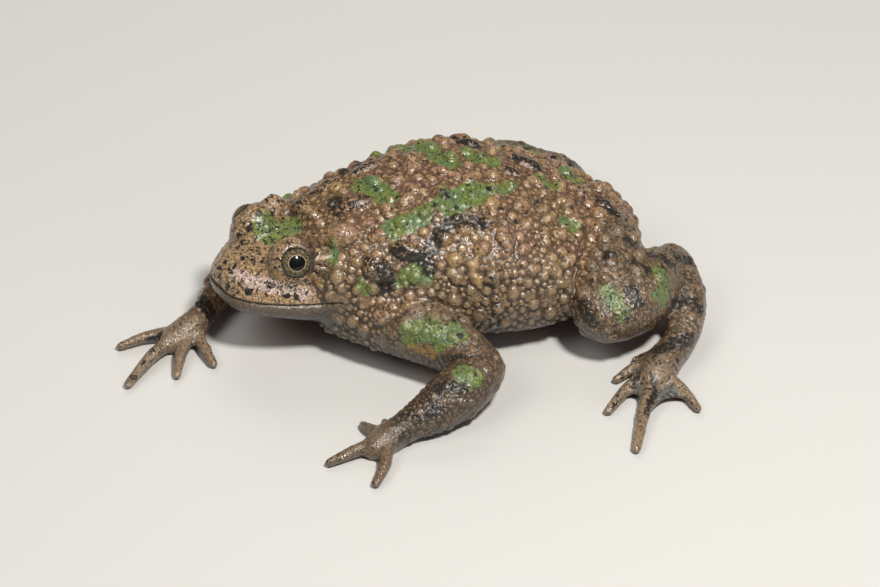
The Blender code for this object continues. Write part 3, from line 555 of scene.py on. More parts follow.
def add_web(bm, first, second, reach):
    """A thin sheet between two toes, out to a hollow edge, reach of the way along them."""
    near, far = smooth_rows(first, 6), smooth_rows(second, 6)
    rows = []
    for across in np.linspace(0, 1, WEB_STEPS + 1):
        hollow = 1 - WEB_HOLLOW * math.sin(math.pi * across)
        places = [t * reach * hollow * (len(near) - 1) for t in np.linspace(0, 1, WEB_STEPS + 1)]
        pairs = [(row_at(near, place), row_at(far, place)) for place in places]
        rows.append([Vector((a + (b - a) * across)[:3]) for a, b in pairs])
    half = Vector((0, 0, WEB_THICKNESS / 2))
    top, bottom = [[[bm.verts.new(p + shift) for p in line] for line in rows] for shift in (half, -half)]
    steps = range(WEB_STEPS)
    faces = []
    for grid in (top, bottom):
        for i, j in itertools.product(steps, steps):
            quad = (grid[i][j], grid[i + 1][j], grid[i + 1][j + 1], grid[i][j + 1])
            faces.append(bm.faces.new(quad))
    rim = [(0, i) for i in steps] + [(i, WEB_STEPS) for i in steps]
    rim += [(WEB_STEPS, WEB_STEPS - i) for i in steps] + [(WEB_STEPS - i, 0) for i in steps]
    for (i, j), (k, m) in zip(rim, rim[1:] + rim[:1]):
        faces.append(bm.faces.new((top[i][j], top[k][m], bottom[k][m], bottom[i][j])))
    bmesh.ops.recalc_face_normals(bm, faces=faces)


def block_out():
    """The whole animal as closed bodies that run into one another."""
    bm = bmesh.new()
    add_trunk(bm)
    add_head(bm)
    for limb in LIMBS.values():
        for name, rows in limb.items():
            if name not in ("digits", "webs"):
                add_tube(bm, rows)
        for digit in limb["digits"]:
            add_tube(bm, digit, count=12)
        for first, second, reach in limb["webs"]:
            add_web(bm, limb["digits"][first], limb["digits"][second], reach)
    return bm


def add_object(name, data):
    """A new object in the scene."""
    made = bpy.data.objects.new(name, data)
    bpy.context.scene.collection.objects.link(made)
    return made


def add_mesh(name, bm):
    """A new object in the scene, with the mesh that was built."""
    mesh = bpy.data.meshes.new(name)
    bm.to_mesh(mesh)
    bm.free()
    return add_object(name, mesh)


def settle(obj):
    """Makes the result of the object's modifiers its own mesh."""
    graph = bpy.context.evaluated_depsgraph_get()
    graph.update()
    made = bpy.data.meshes.new_from_object(obj.evaluated_get(graph))
    old = obj.data
    obj.modifiers.clear()
    obj.data = made
    bpy.data.meshes.remove(old)


def fuse(obj, voxel):
    """One closed skin round all that the object holds."""
    remesh = obj.modifiers.new("fuse", "REMESH")
    remesh.mode = "VOXEL"
    remesh.voxel_size = voxel
    settle(obj)


def refine(obj):
    """A skin with four faces for each one, rounded."""
    finer = obj.modifiers.new("finer", "SUBSURF")
    finer.levels = 1
    finer.render_levels = 1
    settle(obj)


def smooth_faces(obj):
    """Shades the faces as one smooth surface."""
    for polygon in obj.data.polygons:
        polygon.use_smooth = True


def unwrap(obj):
    """Lays the skin out flat for its maps, while it is still smooth."""
    bpy.context.view_layer.objects.active = obj
    obj.select_set(True)
    obj.data.uv_layers.new(name="OFBake")
    bpy.ops.object.mode_set(mode="EDIT")
    bpy.ops.mesh.select_all(action="SELECT")
    bpy.ops.uv.smart_project(angle_limit=math.radians(72), island_margin=0.001)
    bpy.ops.object.mode_set(mode="OBJECT")
    obj.select_set(False)


def read_rows(items, name, width, kind):
    """One property of all the items as an array, a row for each."""
    values = np.empty(len(items) * width, kind)
    items.foreach_get(name, values)
    return values.reshape(-1, width)


def read_skin(mesh):
    """The mesh's points, edges and normals as arrays."""
    points = read_rows(mesh.vertices, "co", 3, np.float32).astype(float)
    edges = read_rows(mesh.edges, "vertices", 2, np.int32)
    normals = read_rows(mesh.vertex_normals, "vector", 3, np.float32).astype(float)
    return points, edges, normals


def write_skin(mesh, points):
    """Puts the points back into the mesh."""
    mesh.vertices.foreach_set("co", points.astype(np.float32).ravel())
    mesh.update()


def write_shares(mesh, shares):
    """Keeps each array as a number at every point of the mesh."""
    for name, values in shares.items():
        made = mesh.attributes.new(name, "FLOAT", "POINT")
        made.data.foreach_set("value", np.clip(values, 0, None).astype(np.float32))


def relax(points, edges, weight, rounds):
    """Draws each point towards the middle of its neighbours, by its weight, in each round."""
    a, b = edges.T
    count = len(points)
    degree = np.bincount(edges.ravel(), minlength=count)
    for _ in range(rounds):
        middle = np.empty_like(points)
        for axis in range(3):
            column = points[:, axis]
            middle[:, axis] = np.bincount(a, column[b], count) + np.bincount(b, column[a], count)
        points += weight[:, None] * (middle / degree[:, None] - points)


def ease(low, high, value):
    """0 below low, 1 above high, and smooth between."""
    t = np.clip((value - low) / (high - low), 0, 1)
    return t * t * (3 - 2 * t)


def bell(value, width):
    """1 at zero, and falling away on both sides of it over the width."""
    return np.exp(-((value / width) ** 2))


def away_from(points, spot):
    """How far each point is from a spot."""
    return np.linalg.norm(points - np.array(spot), axis=1)


def segment_gap(points, a, b):
    """How far each point is from the line from a to b, and the share of that line before its place."""
    along = b - a
    t = np.clip((points - a) @ along / (along @ along), 0, 1)
    return np.linalg.norm(points - a - t[:, None] * along, axis=1), t


def line_gap(points, path):
    """How far each point is from the line through the path's points."""
    path = np.array(path, float)
    if len(path) == 1:
        return away_from(points, path[0])
    return np.minimum.reduce([segment_gap(points, a, b)[0] for a, b in zip(path, path[1:])])


def marks(points, rows, soft):
    """1 on the marks and 0 off them, over a soft edge."""
    shares = [ease(-soft, soft, reach - line_gap(points, path)) for reach, *path in rows]
    return np.maximum.reduce(shares)


def finger_share(points):
    """1 on the digits and webs, 0 on the rest, blended at the palm."""
    share = np.zeros(len(points))
    for limb in LIMBS.values():
        centre = np.array(limb["palm"][1][:3])
        tips = np.array([digit[-1][:3] for digit in limb["digits"]])
        reach = 3.0 + max(np.linalg.norm(tips - centre, axis=1))
        ahead = (points - centre) @ (tips.mean(axis=0) - centre)
        near = np.clip((ahead / np.linalg.norm(tips.mean(axis=0) - centre) + 1.0) / 3.0, 0, 1)
        share = np.maximum(share, near * (away_from(points, centre) < reach) * (points[:, 2] < 4.5))
    return share


def loft_gap(points, rows, split):
    """How far the points are from a lofted body, whose widest line is at z = 0 where it is split."""
    table = smooth_rows(rows, 3)
    y = np.clip(points[:, 1], table[0][0], table[-1][0])
    half_width, top, bottom = [np.interp(y, table[:, 0], table[:, k]) for k in (1, 2, 3)]
    middle, tall = (top + bottom) / 2, (top - bottom) / 2
    if split:
        middle, tall = 0, np.where(points[:, 2] > 0, top, -bottom)
    away = np.sqrt((points[:, 0] / half_width) ** 2 + ((points[:, 2] - middle) / tall) ** 2)
    return (away - 1) * np.minimum(half_width, tall) + np.abs(points[:, 1] - y)


def limb_gaps(points):
    """How far the points are from the trunk and head, and from each kind of limb part."""
    gaps = {"trunk": loft_gap(points, TRUNK, False), "head": loft_gap(to_head(points), HEAD, True)}
    for limb in LIMBS.values():
        for name, rows in limb.items():
            if name == "webs":
                continue
            for row in rows if name == "digits" else (rows,):
                path = smooth_rows(row, 3)
                for a, b in zip(path, path[1:]):
                    gap, t = segment_gap(points, a[:3], b[:3])
                    gap -= a[3] + (b[3] - a[3]) * t
                    gaps[name] = np.minimum(gaps.get(name, gap), gap)
    return gaps


def survey(points, normals):
    """Where on the toad each point is: how far from its bodies, and shares from 0 to 1."""
    gaps = limb_gaps(points)
    local = to_head(points)
    at = SimpleNamespace(points=points, normals=normals, gaps=gaps, back=local[:, 1], up=local[:, 2])
    # Inside the folds of the shoulders the skin is still the body's, and not the arms'.
    shoulder = ease(16.9, 15.7, points[:, 0]) * ease(-13.3, -12.1, points[:, 0]) * (points[:, 1] < 4)
    at.body = np.minimum(gaps["trunk"], gaps["head"])
    at.arms = np.minimum(gaps["upper_arm"], gaps["forearm"]) + 4 * shoulder
    limb = np.minimum.reduce([at.arms, gaps["thigh"], gaps["shank"], gaps["tarsus"]])
    at.limb = ease(0.6, 1.6, at.body - limb)
    at.paws = finger_share(points)
    at.jaw = (gaps["head"] < gaps["trunk"] + 1.0) & (at.up <= -0.2) & (at.back > 10)
    at.steep = 1 - ease(0.35, 0.8, normals[:, 2])
    at.flank = at.steep * (1 - at.limb) * ease(-1.0, 0.4, gaps["head"] - gaps["trunk"])
    at.flank = np.maximum(at.flank, at.jaw)
    at.eye_gap = np.minimum(*[away_from(points, eye_spot(side)[0]) for side in (1, -1)])
    at.near_eye = 1 - ease(2.9, 3.7, at.eye_gap)
    return at


def gland_list(points, normals):
    """The named glands and the round ones between: place, long axis, half length, half width, height."""
    chance = random.Random(11)
    found = []
    for x, y, z, half_length, half_width, heading, height in GLANDS:
        nearest = np.argmin(away_from(points, (x, y, z)))
        ahead = np.array((math.cos(math.radians(heading)), math.sin(math.radians(heading)), 0.0))
        axis = ahead - normals[nearest] * (ahead @ normals[nearest])
        axis /= np.linalg.norm(axis)
        found.append((points[nearest], axis, half_length, half_width, height))
    eyes = [np.array(eye_spot(side)[0]) for side in (1, -1)]
    order = list(range(0, len(points), 3))
    chance.shuffle(order)
    for i in order:
        spot = points[i]
        on_trunk = abs(spot[0]) < 18.5 and -16 < spot[1] < 29 and spot[2] > 5.0 and normals[i][2] > -0.2
        if not on_trunk or min(np.linalg.norm(spot - eye) for eye in eyes) < 6.0:
            continue
        radius = chance.uniform(*FILL_RADIUS)
        if all(np.linalg.norm(spot - g[0]) > FILL_SPACING * 0.5 + g[2] * 0.9 for g in found):
            found.append((spot, EAST, radius, radius, chance.uniform(*FILL_HEIGHT)))
    return found


def gland_size(at):
    """The wanted radius of the small glands at each point, 0 where there are none, and their spread."""
    flank, up, back = at.steep, at.up, at.back
    size, spread = 0.36 + 0.13 * flank, 1.2 - 0.27 * flank
    crown = (at.gaps["head"] < at.gaps["trunk"] + 0.5) & (up > 0.6)
    thigh = at.gaps["thigh"]
    limbs = np.minimum(at.arms, np.minimum(at.gaps["shank"], at.gaps["tarsus"]))
    hands = np.minimum(at.gaps["palm"], at.gaps["digits"])
    for where, radius, apart in (
        (at.jaw, 0.42, 0.93),
        (crown, 0.30, 1.2),
        (crown & (back < 13.5), 0.24, 1.2),
        ((up < 1.3) & (back < 12.5) & (at.gaps["head"] < 3), 0, 1),
        (thigh < at.body, 0.36, 1.02),
        (limbs < np.minimum(at.body, thigh) - 0.9, 0.30, 1.02),
        (hands < np.minimum(at.body, limbs), 0.24, 1.05),
        ((at.normals[:, 2] < -0.6) | (at.points[:, 2] < 0.8) | (at.near_eye > 0.3), 0, 1),
    ):
        size[where] = radius
        spread[where] = apart
    return size, spread


def scatter(points, size, spread, seed):
    """Spots for the small glands, packed by their own sizes and spread: row in points, radius."""
    chance = random.Random(seed)
    shelf = {}
    found = []
    for scale, tries in SMALL_ROUNDS:
        order = [i for i in range(len(points)) if size[i] > 0]
        chance.shuffle(order)
        for i in order[:tries]:
            radius = size[i] * scale * chance.uniform(*SMALL_VARY)
            x, y, z = points[i]
            a, b, c = [int(place // SHELF) for place in (x, y, z)]
            near = [other for d, e, f in AROUND for other in shelf.get((a + d, b + e, c + f), ())]
            if all(
                (u - x) ** 2 + (v - y) ** 2 + (w - z) ** 2 >= (spread[i] * (r + radius)) ** 2
                for u, v, w, r in near
            ):
                shelf.setdefault((a, b, c), []).append((x, y, z, radius))
                found.append((i, radius))
    return found


def domes(tree, count, spots, power):
    """The lift of the domes, how far up its dome each point is and whose dome it is on."""
    lift = np.zeros(count)
    share = np.zeros(count)
    owner = np.full(count, -1)
    for number, (spot, axis, half_length, half_width, height) in enumerate(spots):
        for place, index, distance in tree.find_range(spot, half_length):
            part = (distance / half_length) ** 2
            if half_length != half_width:
                along = (place[0] - spot[0]) * axis[0] + (place[1] - spot[1]) * axis[1]
                along += (place[2] - spot[2]) * axis[2]
                across = max(distance**2 - along**2, 0)
                part = (along / half_length) ** 2 + across / half_width**2
            if part >= 1:
                continue
            rise = (1 - part) ** power
            if height * rise > lift[index]:
                lift[index] = height * rise
                share[index] = rise
                owner[index] = number
    return lift, share, owner


def raise_glands(at, glands):
    """The lift of the glands, how far up a large and a small one each point is, and which large one."""
    count = len(at.points)
    tree = kdtree.KDTree(count)
    for i, point in enumerate(at.points):
        tree.insert(point, i)
    tree.balance()
    large = glands[: len(GLANDS)] + [(row[:3], EAST, row[3], row[3], row[4]) for row in SMALL_GLANDS]
    large = [(np.array(tree.find(spot)[0]), *rest) for spot, *rest in large]
    for spot, axis, radius, _, height in glands[len(GLANDS) :]:
        low = 1.45 - 1.2 * at.steep[tree.find(spot)[1]]
        large.append((spot, axis, 0.8 * radius, 0.8 * radius, height * low))
    big, big_share, owner = domes(tree, count, large, BIG_POWER)
    size, spread = gland_size(at)
    rows = np.arange(0, count, SMALL_SHARE)
    little = []
    for i, radius in scatter(at.points[rows], size[rows], spread[rows], 5):
        row = rows[i]
        height = 0.24 + 0.30 * ease(0.35, 0.75, radius)
        height += (0.62 - height) * at.flank[row]
        height *= 1 - 0.35 * at.limb[row]
        height *= 1 - 0.45 * at.paws[row]
        little.append((at.points[row], EAST, radius, radius, radius * height))
    small, small_share, _ = domes(tree, count, little, SMALL_POWER)
    small *= 1 - at.near_eye
    small_share *= 1 - at.near_eye
    return big + small * (1 - 0.6 * ease(0.1, 0.7, big_share)), big_share, small_share, owner


def mouth_height(back):
    """How high the line between the lips stands, at each place back from the snout."""
    return MOUTH_RISE + MOUTH_SLOPE * back + MOUTH_CORNER * ease(10.0, 13.0, back)


def mouth_path(surface):
    """The line where the lips meet, on the skin, from the left corner round to the right one."""
    rows = [row for row in smooth_rows(HEAD, 6) if row[0] <= MOUTH_BACK]
    left = [Vector((row[1], row[0], mouth_height(row[0]))) for row in rows]
    right = [on_side(p, -1) for p in left]
    line = left[::-1] + [Vector((0, 0, MOUTH_RISE))] + right
    return [surface.find_nearest(head_frame() @ p)[0] for p in line]


def sink_lines(surface, at, lift):
    """The lift with the mouth, folds and nostrils in it, the gap to the mouth, and each kind's share, which
    the painted shade in them follows.
    """
    points = at.points
    mouth = line_gap(points, mouth_path(surface))
    ends = ease(MOUTH_BACK + 1.2, MOUTH_BACK - 1.0, at.back)
    lift = np.where(mouth < 1.3, lift * (0.2 + 0.8 * ease(0.3, 1.3, mouth)), lift)
    lift -= 0.34 * bell(mouth, 0.17) * ends
    lift += 0.10 * bell(mouth - 0.42, 0.26) * ends
    folds = np.zeros(len(points))
    for depth, width, *path in FOLDS:
        gap = line_gap(points, [surface.find_nearest(Vector(row))[0] for row in smooth_rows(path, 4)])
        tips = [ease(0.3, 3.5, away_from(points, tip)) for tip in (path[0], path[-1])]
        faint = tips[0] * tips[1]
        dip = bell(gap, width) * faint
        # the share of painted shade along the fold
        folds = np.maximum(folds, dip * (depth / FOLD_SHADE_FULL))
        lift += 0.10 * bell(gap - 0.8, 0.5) * faint - depth * dip
    nostril_shade = np.zeros(len(points))
    for side in (1, -1):
        gap = away_from(points, surface.find_nearest(head_frame() @ on_side(NOSTRIL, side))[0])
        # the share of painted shade in the nostril
        nostril_shade = np.maximum(nostril_shade, bell(gap, 0.26))
        lift += 0.10 * bell(gap - 0.5, 0.2) - 0.5 * bell(gap, 0.28)
    return lift, mouth, ends, folds, nostril_shade


def raise_lids(points):
    """Brings the skin round each eye out to the ball of its lids."""
    for side in (1, -1):
        centre, look = eye_spot(side)
        middle = np.array(centre - look * LID_SET_BACK)
        away = points - middle
        gap = np.linalg.norm(away, axis=1)
        near = (gap < LID_RADIUS + 2) & (gap > 0.5)
        short = (LID_RADIUS - gap[near]) / LID_BLEND
        reach = gap[near] + LID_BLEND * np.log1p(np.exp(np.clip(short, -20, 20)))
        reach = np.where(short > 20, LID_RADIUS, reach)
        points[near] = middle + away[near] / gap[near, None] * reach[:, None]


def open_lids(points):
    """Sinks the skin behind each eye and leaves the lids standing round it, with their folds."""
    up = np.array(head_frame().to_3x3() @ Vector((0, 0, 1)))
    for side in (1, -1):
        centre, look = [np.array(v) for v in eye_spot(side)]
        away = points - centre
        gap = np.linalg.norm(away, axis=1)
        near = gap < 4.8
        turned = away[near] / gap[near, None]
        gap = gap[near]
        angle = np.degrees(np.arccos(np.clip(turned @ look, -1, 1)))
        level = look * (up @ look)
        above = ease(-0.3, 0.5, turned @ ((up - level) / np.linalg.norm(up - level)))
        rim = ease(*LID_RIM, angle)
        start, hug, more = LID_HUG
        over = np.clip(gap - (hug + more * np.clip(angle - start, 0, None)), 0, None)
        over = over * ease(*LID_LOOSE, angle)
        crest, width, height = LID_SWELL
        sunk = LID_SOCKET + (gap - over - LID_SOCKET) * rim + height * bell(angle - crest, width) * rim
        for crest, width, depth, share in LID_FOLDS:
            sunk = sunk - depth * bell(angle - crest, width) * (share + (1 - share) * above)
        points[near] = centre + turned * sunk[:, None]


def lid_shade_lines(points):
    """1 in the fine lines of painted shade round the eyes, in the lids' folds and at their rim, 0 off them.
    """
    share = np.zeros(len(points))
    for side in (1, -1):
        centre, look = [np.array(v) for v in eye_spot(side)]
        away = points - centre
        gap = np.linalg.norm(away, axis=1)
        angle = np.degrees(np.arccos(np.clip(away @ look / np.maximum(gap, 1e-6), -1, 1)))
        lines = sum(strength * bell(angle - crest, width) for crest, width, strength in LID_SHADE_LINES)
        share = np.maximum(share, lines * (gap < 4.2))
    return share


def detail(skin, glands):
    """Gives the skin its glands, lids, lips, nostrils and folds, and the shares its colours follow."""
    points, _, normals = read_skin(skin.data)
    at = survey(points, normals)
    lift, big_share, small_share, owner = raise_glands(at, glands)
    shell = bmesh.new()
    shell.from_mesh(skin.data)
    surface = BVHTree.FromBMesh(shell)
    shell.free()
    lift, mouth, ends, folds, nostril_shade = sink_lines(surface, at, lift)
    moved = points + normals * lift[:, None]
    open_lids(moved)
    moved[:, 2] = np.maximum(moved[:, 2], 0)
    write_skin(skin.data, moved)

    gaps, down = at.gaps, normals[:, 2]
    x, y, z = points.T
    throat = (gaps["head"] < gaps["trunk"] + 1.5) * ease(-0.3, -1.2, at.up) * ease(4, 9, at.back)
    webs = ease(0.02, 0.35, np.minimum(gaps["digits"], gaps["palm"]))
    snout = (gaps["head"] < gaps["trunk"]) * ease(15, 10, at.back) * ease(0.2, 1.0, at.up)
    lids = (gaps["head"] < 3) * (1 - ease(3.4, 4.6, at.eye_gap))
    legs = ease(0.6, 1.6, at.body - np.minimum(gaps["thigh"], gaps["shank"]))
    elbow = ease(19.0, 26.0, x) * ease(6.0, 2.0, y) * at.limb
    mottled = np.isin(owner, MOTTLED) * ease(0.1, 0.5, big_share)
    # Painted shade in the creases: the line between the lips, the nostrils, the folds and the lines round
    # the eyes.
    creases = 0.6 * bell(mouth, 0.17) * ends + nostril_shade + 0.6 * folds + lid_shade_lines(points)
    shares = {name: marks(points, rows, soft) for name, (soft, rows) in MARKS.items()}
    shares.update(
        dome=np.maximum(small_share, 0.75 * big_share),
        amber=np.isin(owner, AMBER) * ease(0.1, 0.6, big_share),
        fleck=np.maximum.reduce([mottled, 0.75 * snout, 1.3 * lids, 0.4 * legs]),
        mottled=mottled,
        snout=snout,
        flank=at.flank,
        throat=throat,
        # painted shade on the body's lower sides, where they turn under
        low=(at.body < 1.0) * ease(0.15, -0.45, down) * (1 - throat),
        limb=at.limb,
        dusky=np.maximum(elbow, 0.8 * ease(26.0, 30.0, x) * (y < 4)),
        digit=at.paws,
        web=webs * (at.paws > 0.35) * (z < 3.0),
        under=ease(-0.80, -0.94, down),
        lip=bell(mouth, 0.9) * ease(0.05, -0.25, at.up - mouth_height(at.back)) * ends,
        crease=np.clip(creases, 0, 1),
    )
    write_shares(skin.data, shares)


def make_skin():
    """The whole skin, with its shape and the numbers that its colours follow."""
    skin = add_mesh("toad_skin", block_out())
    fuse(skin, VOXEL)
    points, edges, _ = read_skin(skin.data)
    body = 1 - finger_share(points)
    everywhere = np.ones(len(points))
    relax(points, edges, BODY_RELAX[0] * body, BODY_RELAX[1])
    relax(points, edges, SKIN_RELAX[0] * everywhere, SKIN_RELAX[1])
    write_skin(skin.data, points)
    points, edges, normals = read_skin(skin.data)
    glands = gland_list(points, normals)
    raise_lids(points)
    relax(points, edges, LID_RELAX[0] * everywhere, LID_RELAX[1])
    write_skin(skin.data, points)
    unwrap(skin)
    refine(skin)
    detail(skin, glands)
    smooth_faces(skin)
    return skin


def make_eye(name, side):
    """An eyeball in its lids, with the place of each point from the middle of its pupil."""
    centre, look = eye_spot(side)
    bm = bmesh.new()
    turn = look.to_track_quat("Z", "Y").to_matrix().to_4x4()
    place = Matrix.Translation(centre) @ turn
    bmesh.ops.create_uvsphere(bm, u_segments=72, v_segments=48, radius=EYE_RADIUS, matrix=place)
    eye = add_mesh(name, bm)
    points = read_skin(eye.data)[0]
    x, y, z = ((points - np.array(centre)) @ np.array(turn)[:3, :3]).T
    polar = np.hypot(x * 0.97, y * 1.05)  # the pupil is a little wider than high
    write_shares(eye.data, {"polar": np.where(z > 0, polar, 2 * EYE_RADIUS - polar)})
    smooth_faces(eye)
    unwrap(eye)
    return eye


def material(name, sockets):
    """A new material and its shader, with the values of the shader's own sockets."""
    made = bpy.data.materials.new(name)
    made.use_nodes = True
    shader = made.node_tree.nodes["Principled BSDF"]
    for key, value in sockets.items():
        shader.inputs[key].default_value = value
    return made, shader


class Nodes:
    """Short ways to add nodes to a material's tree."""

    def __init__(self, tree):
        self.tree = tree
        spot = self.add("TexCoord", {}).outputs["Object"]
        self.place = self.add("VectorMath", {0: spot, "Scale": 1 / MM}, operation="SCALE").outputs[0]

    def add(self, kind, sockets, **settings):
        """A node of a kind, with its settings, and each socket linked to another or set to its value."""
        node = self.tree.nodes.new("ShaderNode" + kind)
        for key, value in settings.items():
            setattr(node, key, value)
        for key, value in sockets.items():
            if isinstance(value, bpy.types.NodeSocket):
                self.tree.links.new(value, node.inputs[key])
            else:
                node.inputs[key].default_value = value
        return node

    def noise(self, scale, detail=3.0, rough=0.55, warp=0.0):
        """Soft noise from 0 to 1, scale waves to a millimetre."""
        sockets = {"Scale": scale, "Detail": detail, "Roughness": rough, "Distortion": warp}
        return self.add("TexNoise", {"Vector": self.place, **sockets}).outputs["Fac"]

    def cells(self, scale):
        """The distance from the middle of the nearest cell, scale cells to a millimetre."""
        return self.add("TexVoronoi", {"Vector": self.place, "Scale": scale}).outputs["Distance"]

    def attribute(self, name):
        """One of the numbers kept at the points of the mesh."""
        return self.add("Attribute", {}, attribute_name=name).outputs["Fac"]

    def math(self, operation, a, b=0.5, c=0.5):
        """A sum, product or the like of one to three values."""
        return self.add("Math", {0: a, 1: b, 2: c}, operation=operation).outputs[0]

    def step(self, value, low, high, to_low=0.0, to_high=1.0):
        """A smooth ramp from to_low at low to to_high at high."""
        span = {"From Min": low, "From Max": high, "To Min": to_low, "To Max": to_high}
        return self.add("MapRange", {"Value": value, **span}, interpolation_type="SMOOTHSTEP").outputs[0]

    def mix(self, share, a, b, blend="MIX"):
        """Colour a with a share of colour b."""
        return self.add("Mix", {0: share, 6: a, 7: b}, data_type="RGBA", blend_type=blend).outputs[2]

    def bump(self, height, distance, strength, normal=None):
        """Normals that follow a height, over others."""
        sockets = {"Height": height, "Distance": distance, "Strength": strength}
        if normal is not None:
            sockets["Normal"] = normal
        return self.add("Bump", sockets).outputs["Normal"]

    def shade(self, value, low, high, a, b, most=1.0):
        """Colour a that turns to colour b, or mostly, as a value goes from low to high."""
        return self.mix(self.step(value, low, high, 0.0, most), a, b)

    def lay(self, name, weight, a, b):
        """Colour a with a weight of colour b where an attribute is 1."""
        return self.mix(self.math("MULTIPLY", self.attribute(name), weight), a, b)

    def ragged(self, name, noise, reach, shift):
        """An attribute with noise added, which breaks the edge of its marks."""
        return self.math("ADD", self.attribute(name), self.math("MULTIPLY_ADD", noise, reach, shift))


def colour(red, green, blue):
    """A colour with full alpha."""
    return (red, green, blue, 1.0)


def tone(red, green, blue):
    """A colour of the skin, deepened for the wet film over it."""
    return colour(SKIN_DEPTH * red, SKIN_DEPTH * green, SKIN_DEPTH * blue)


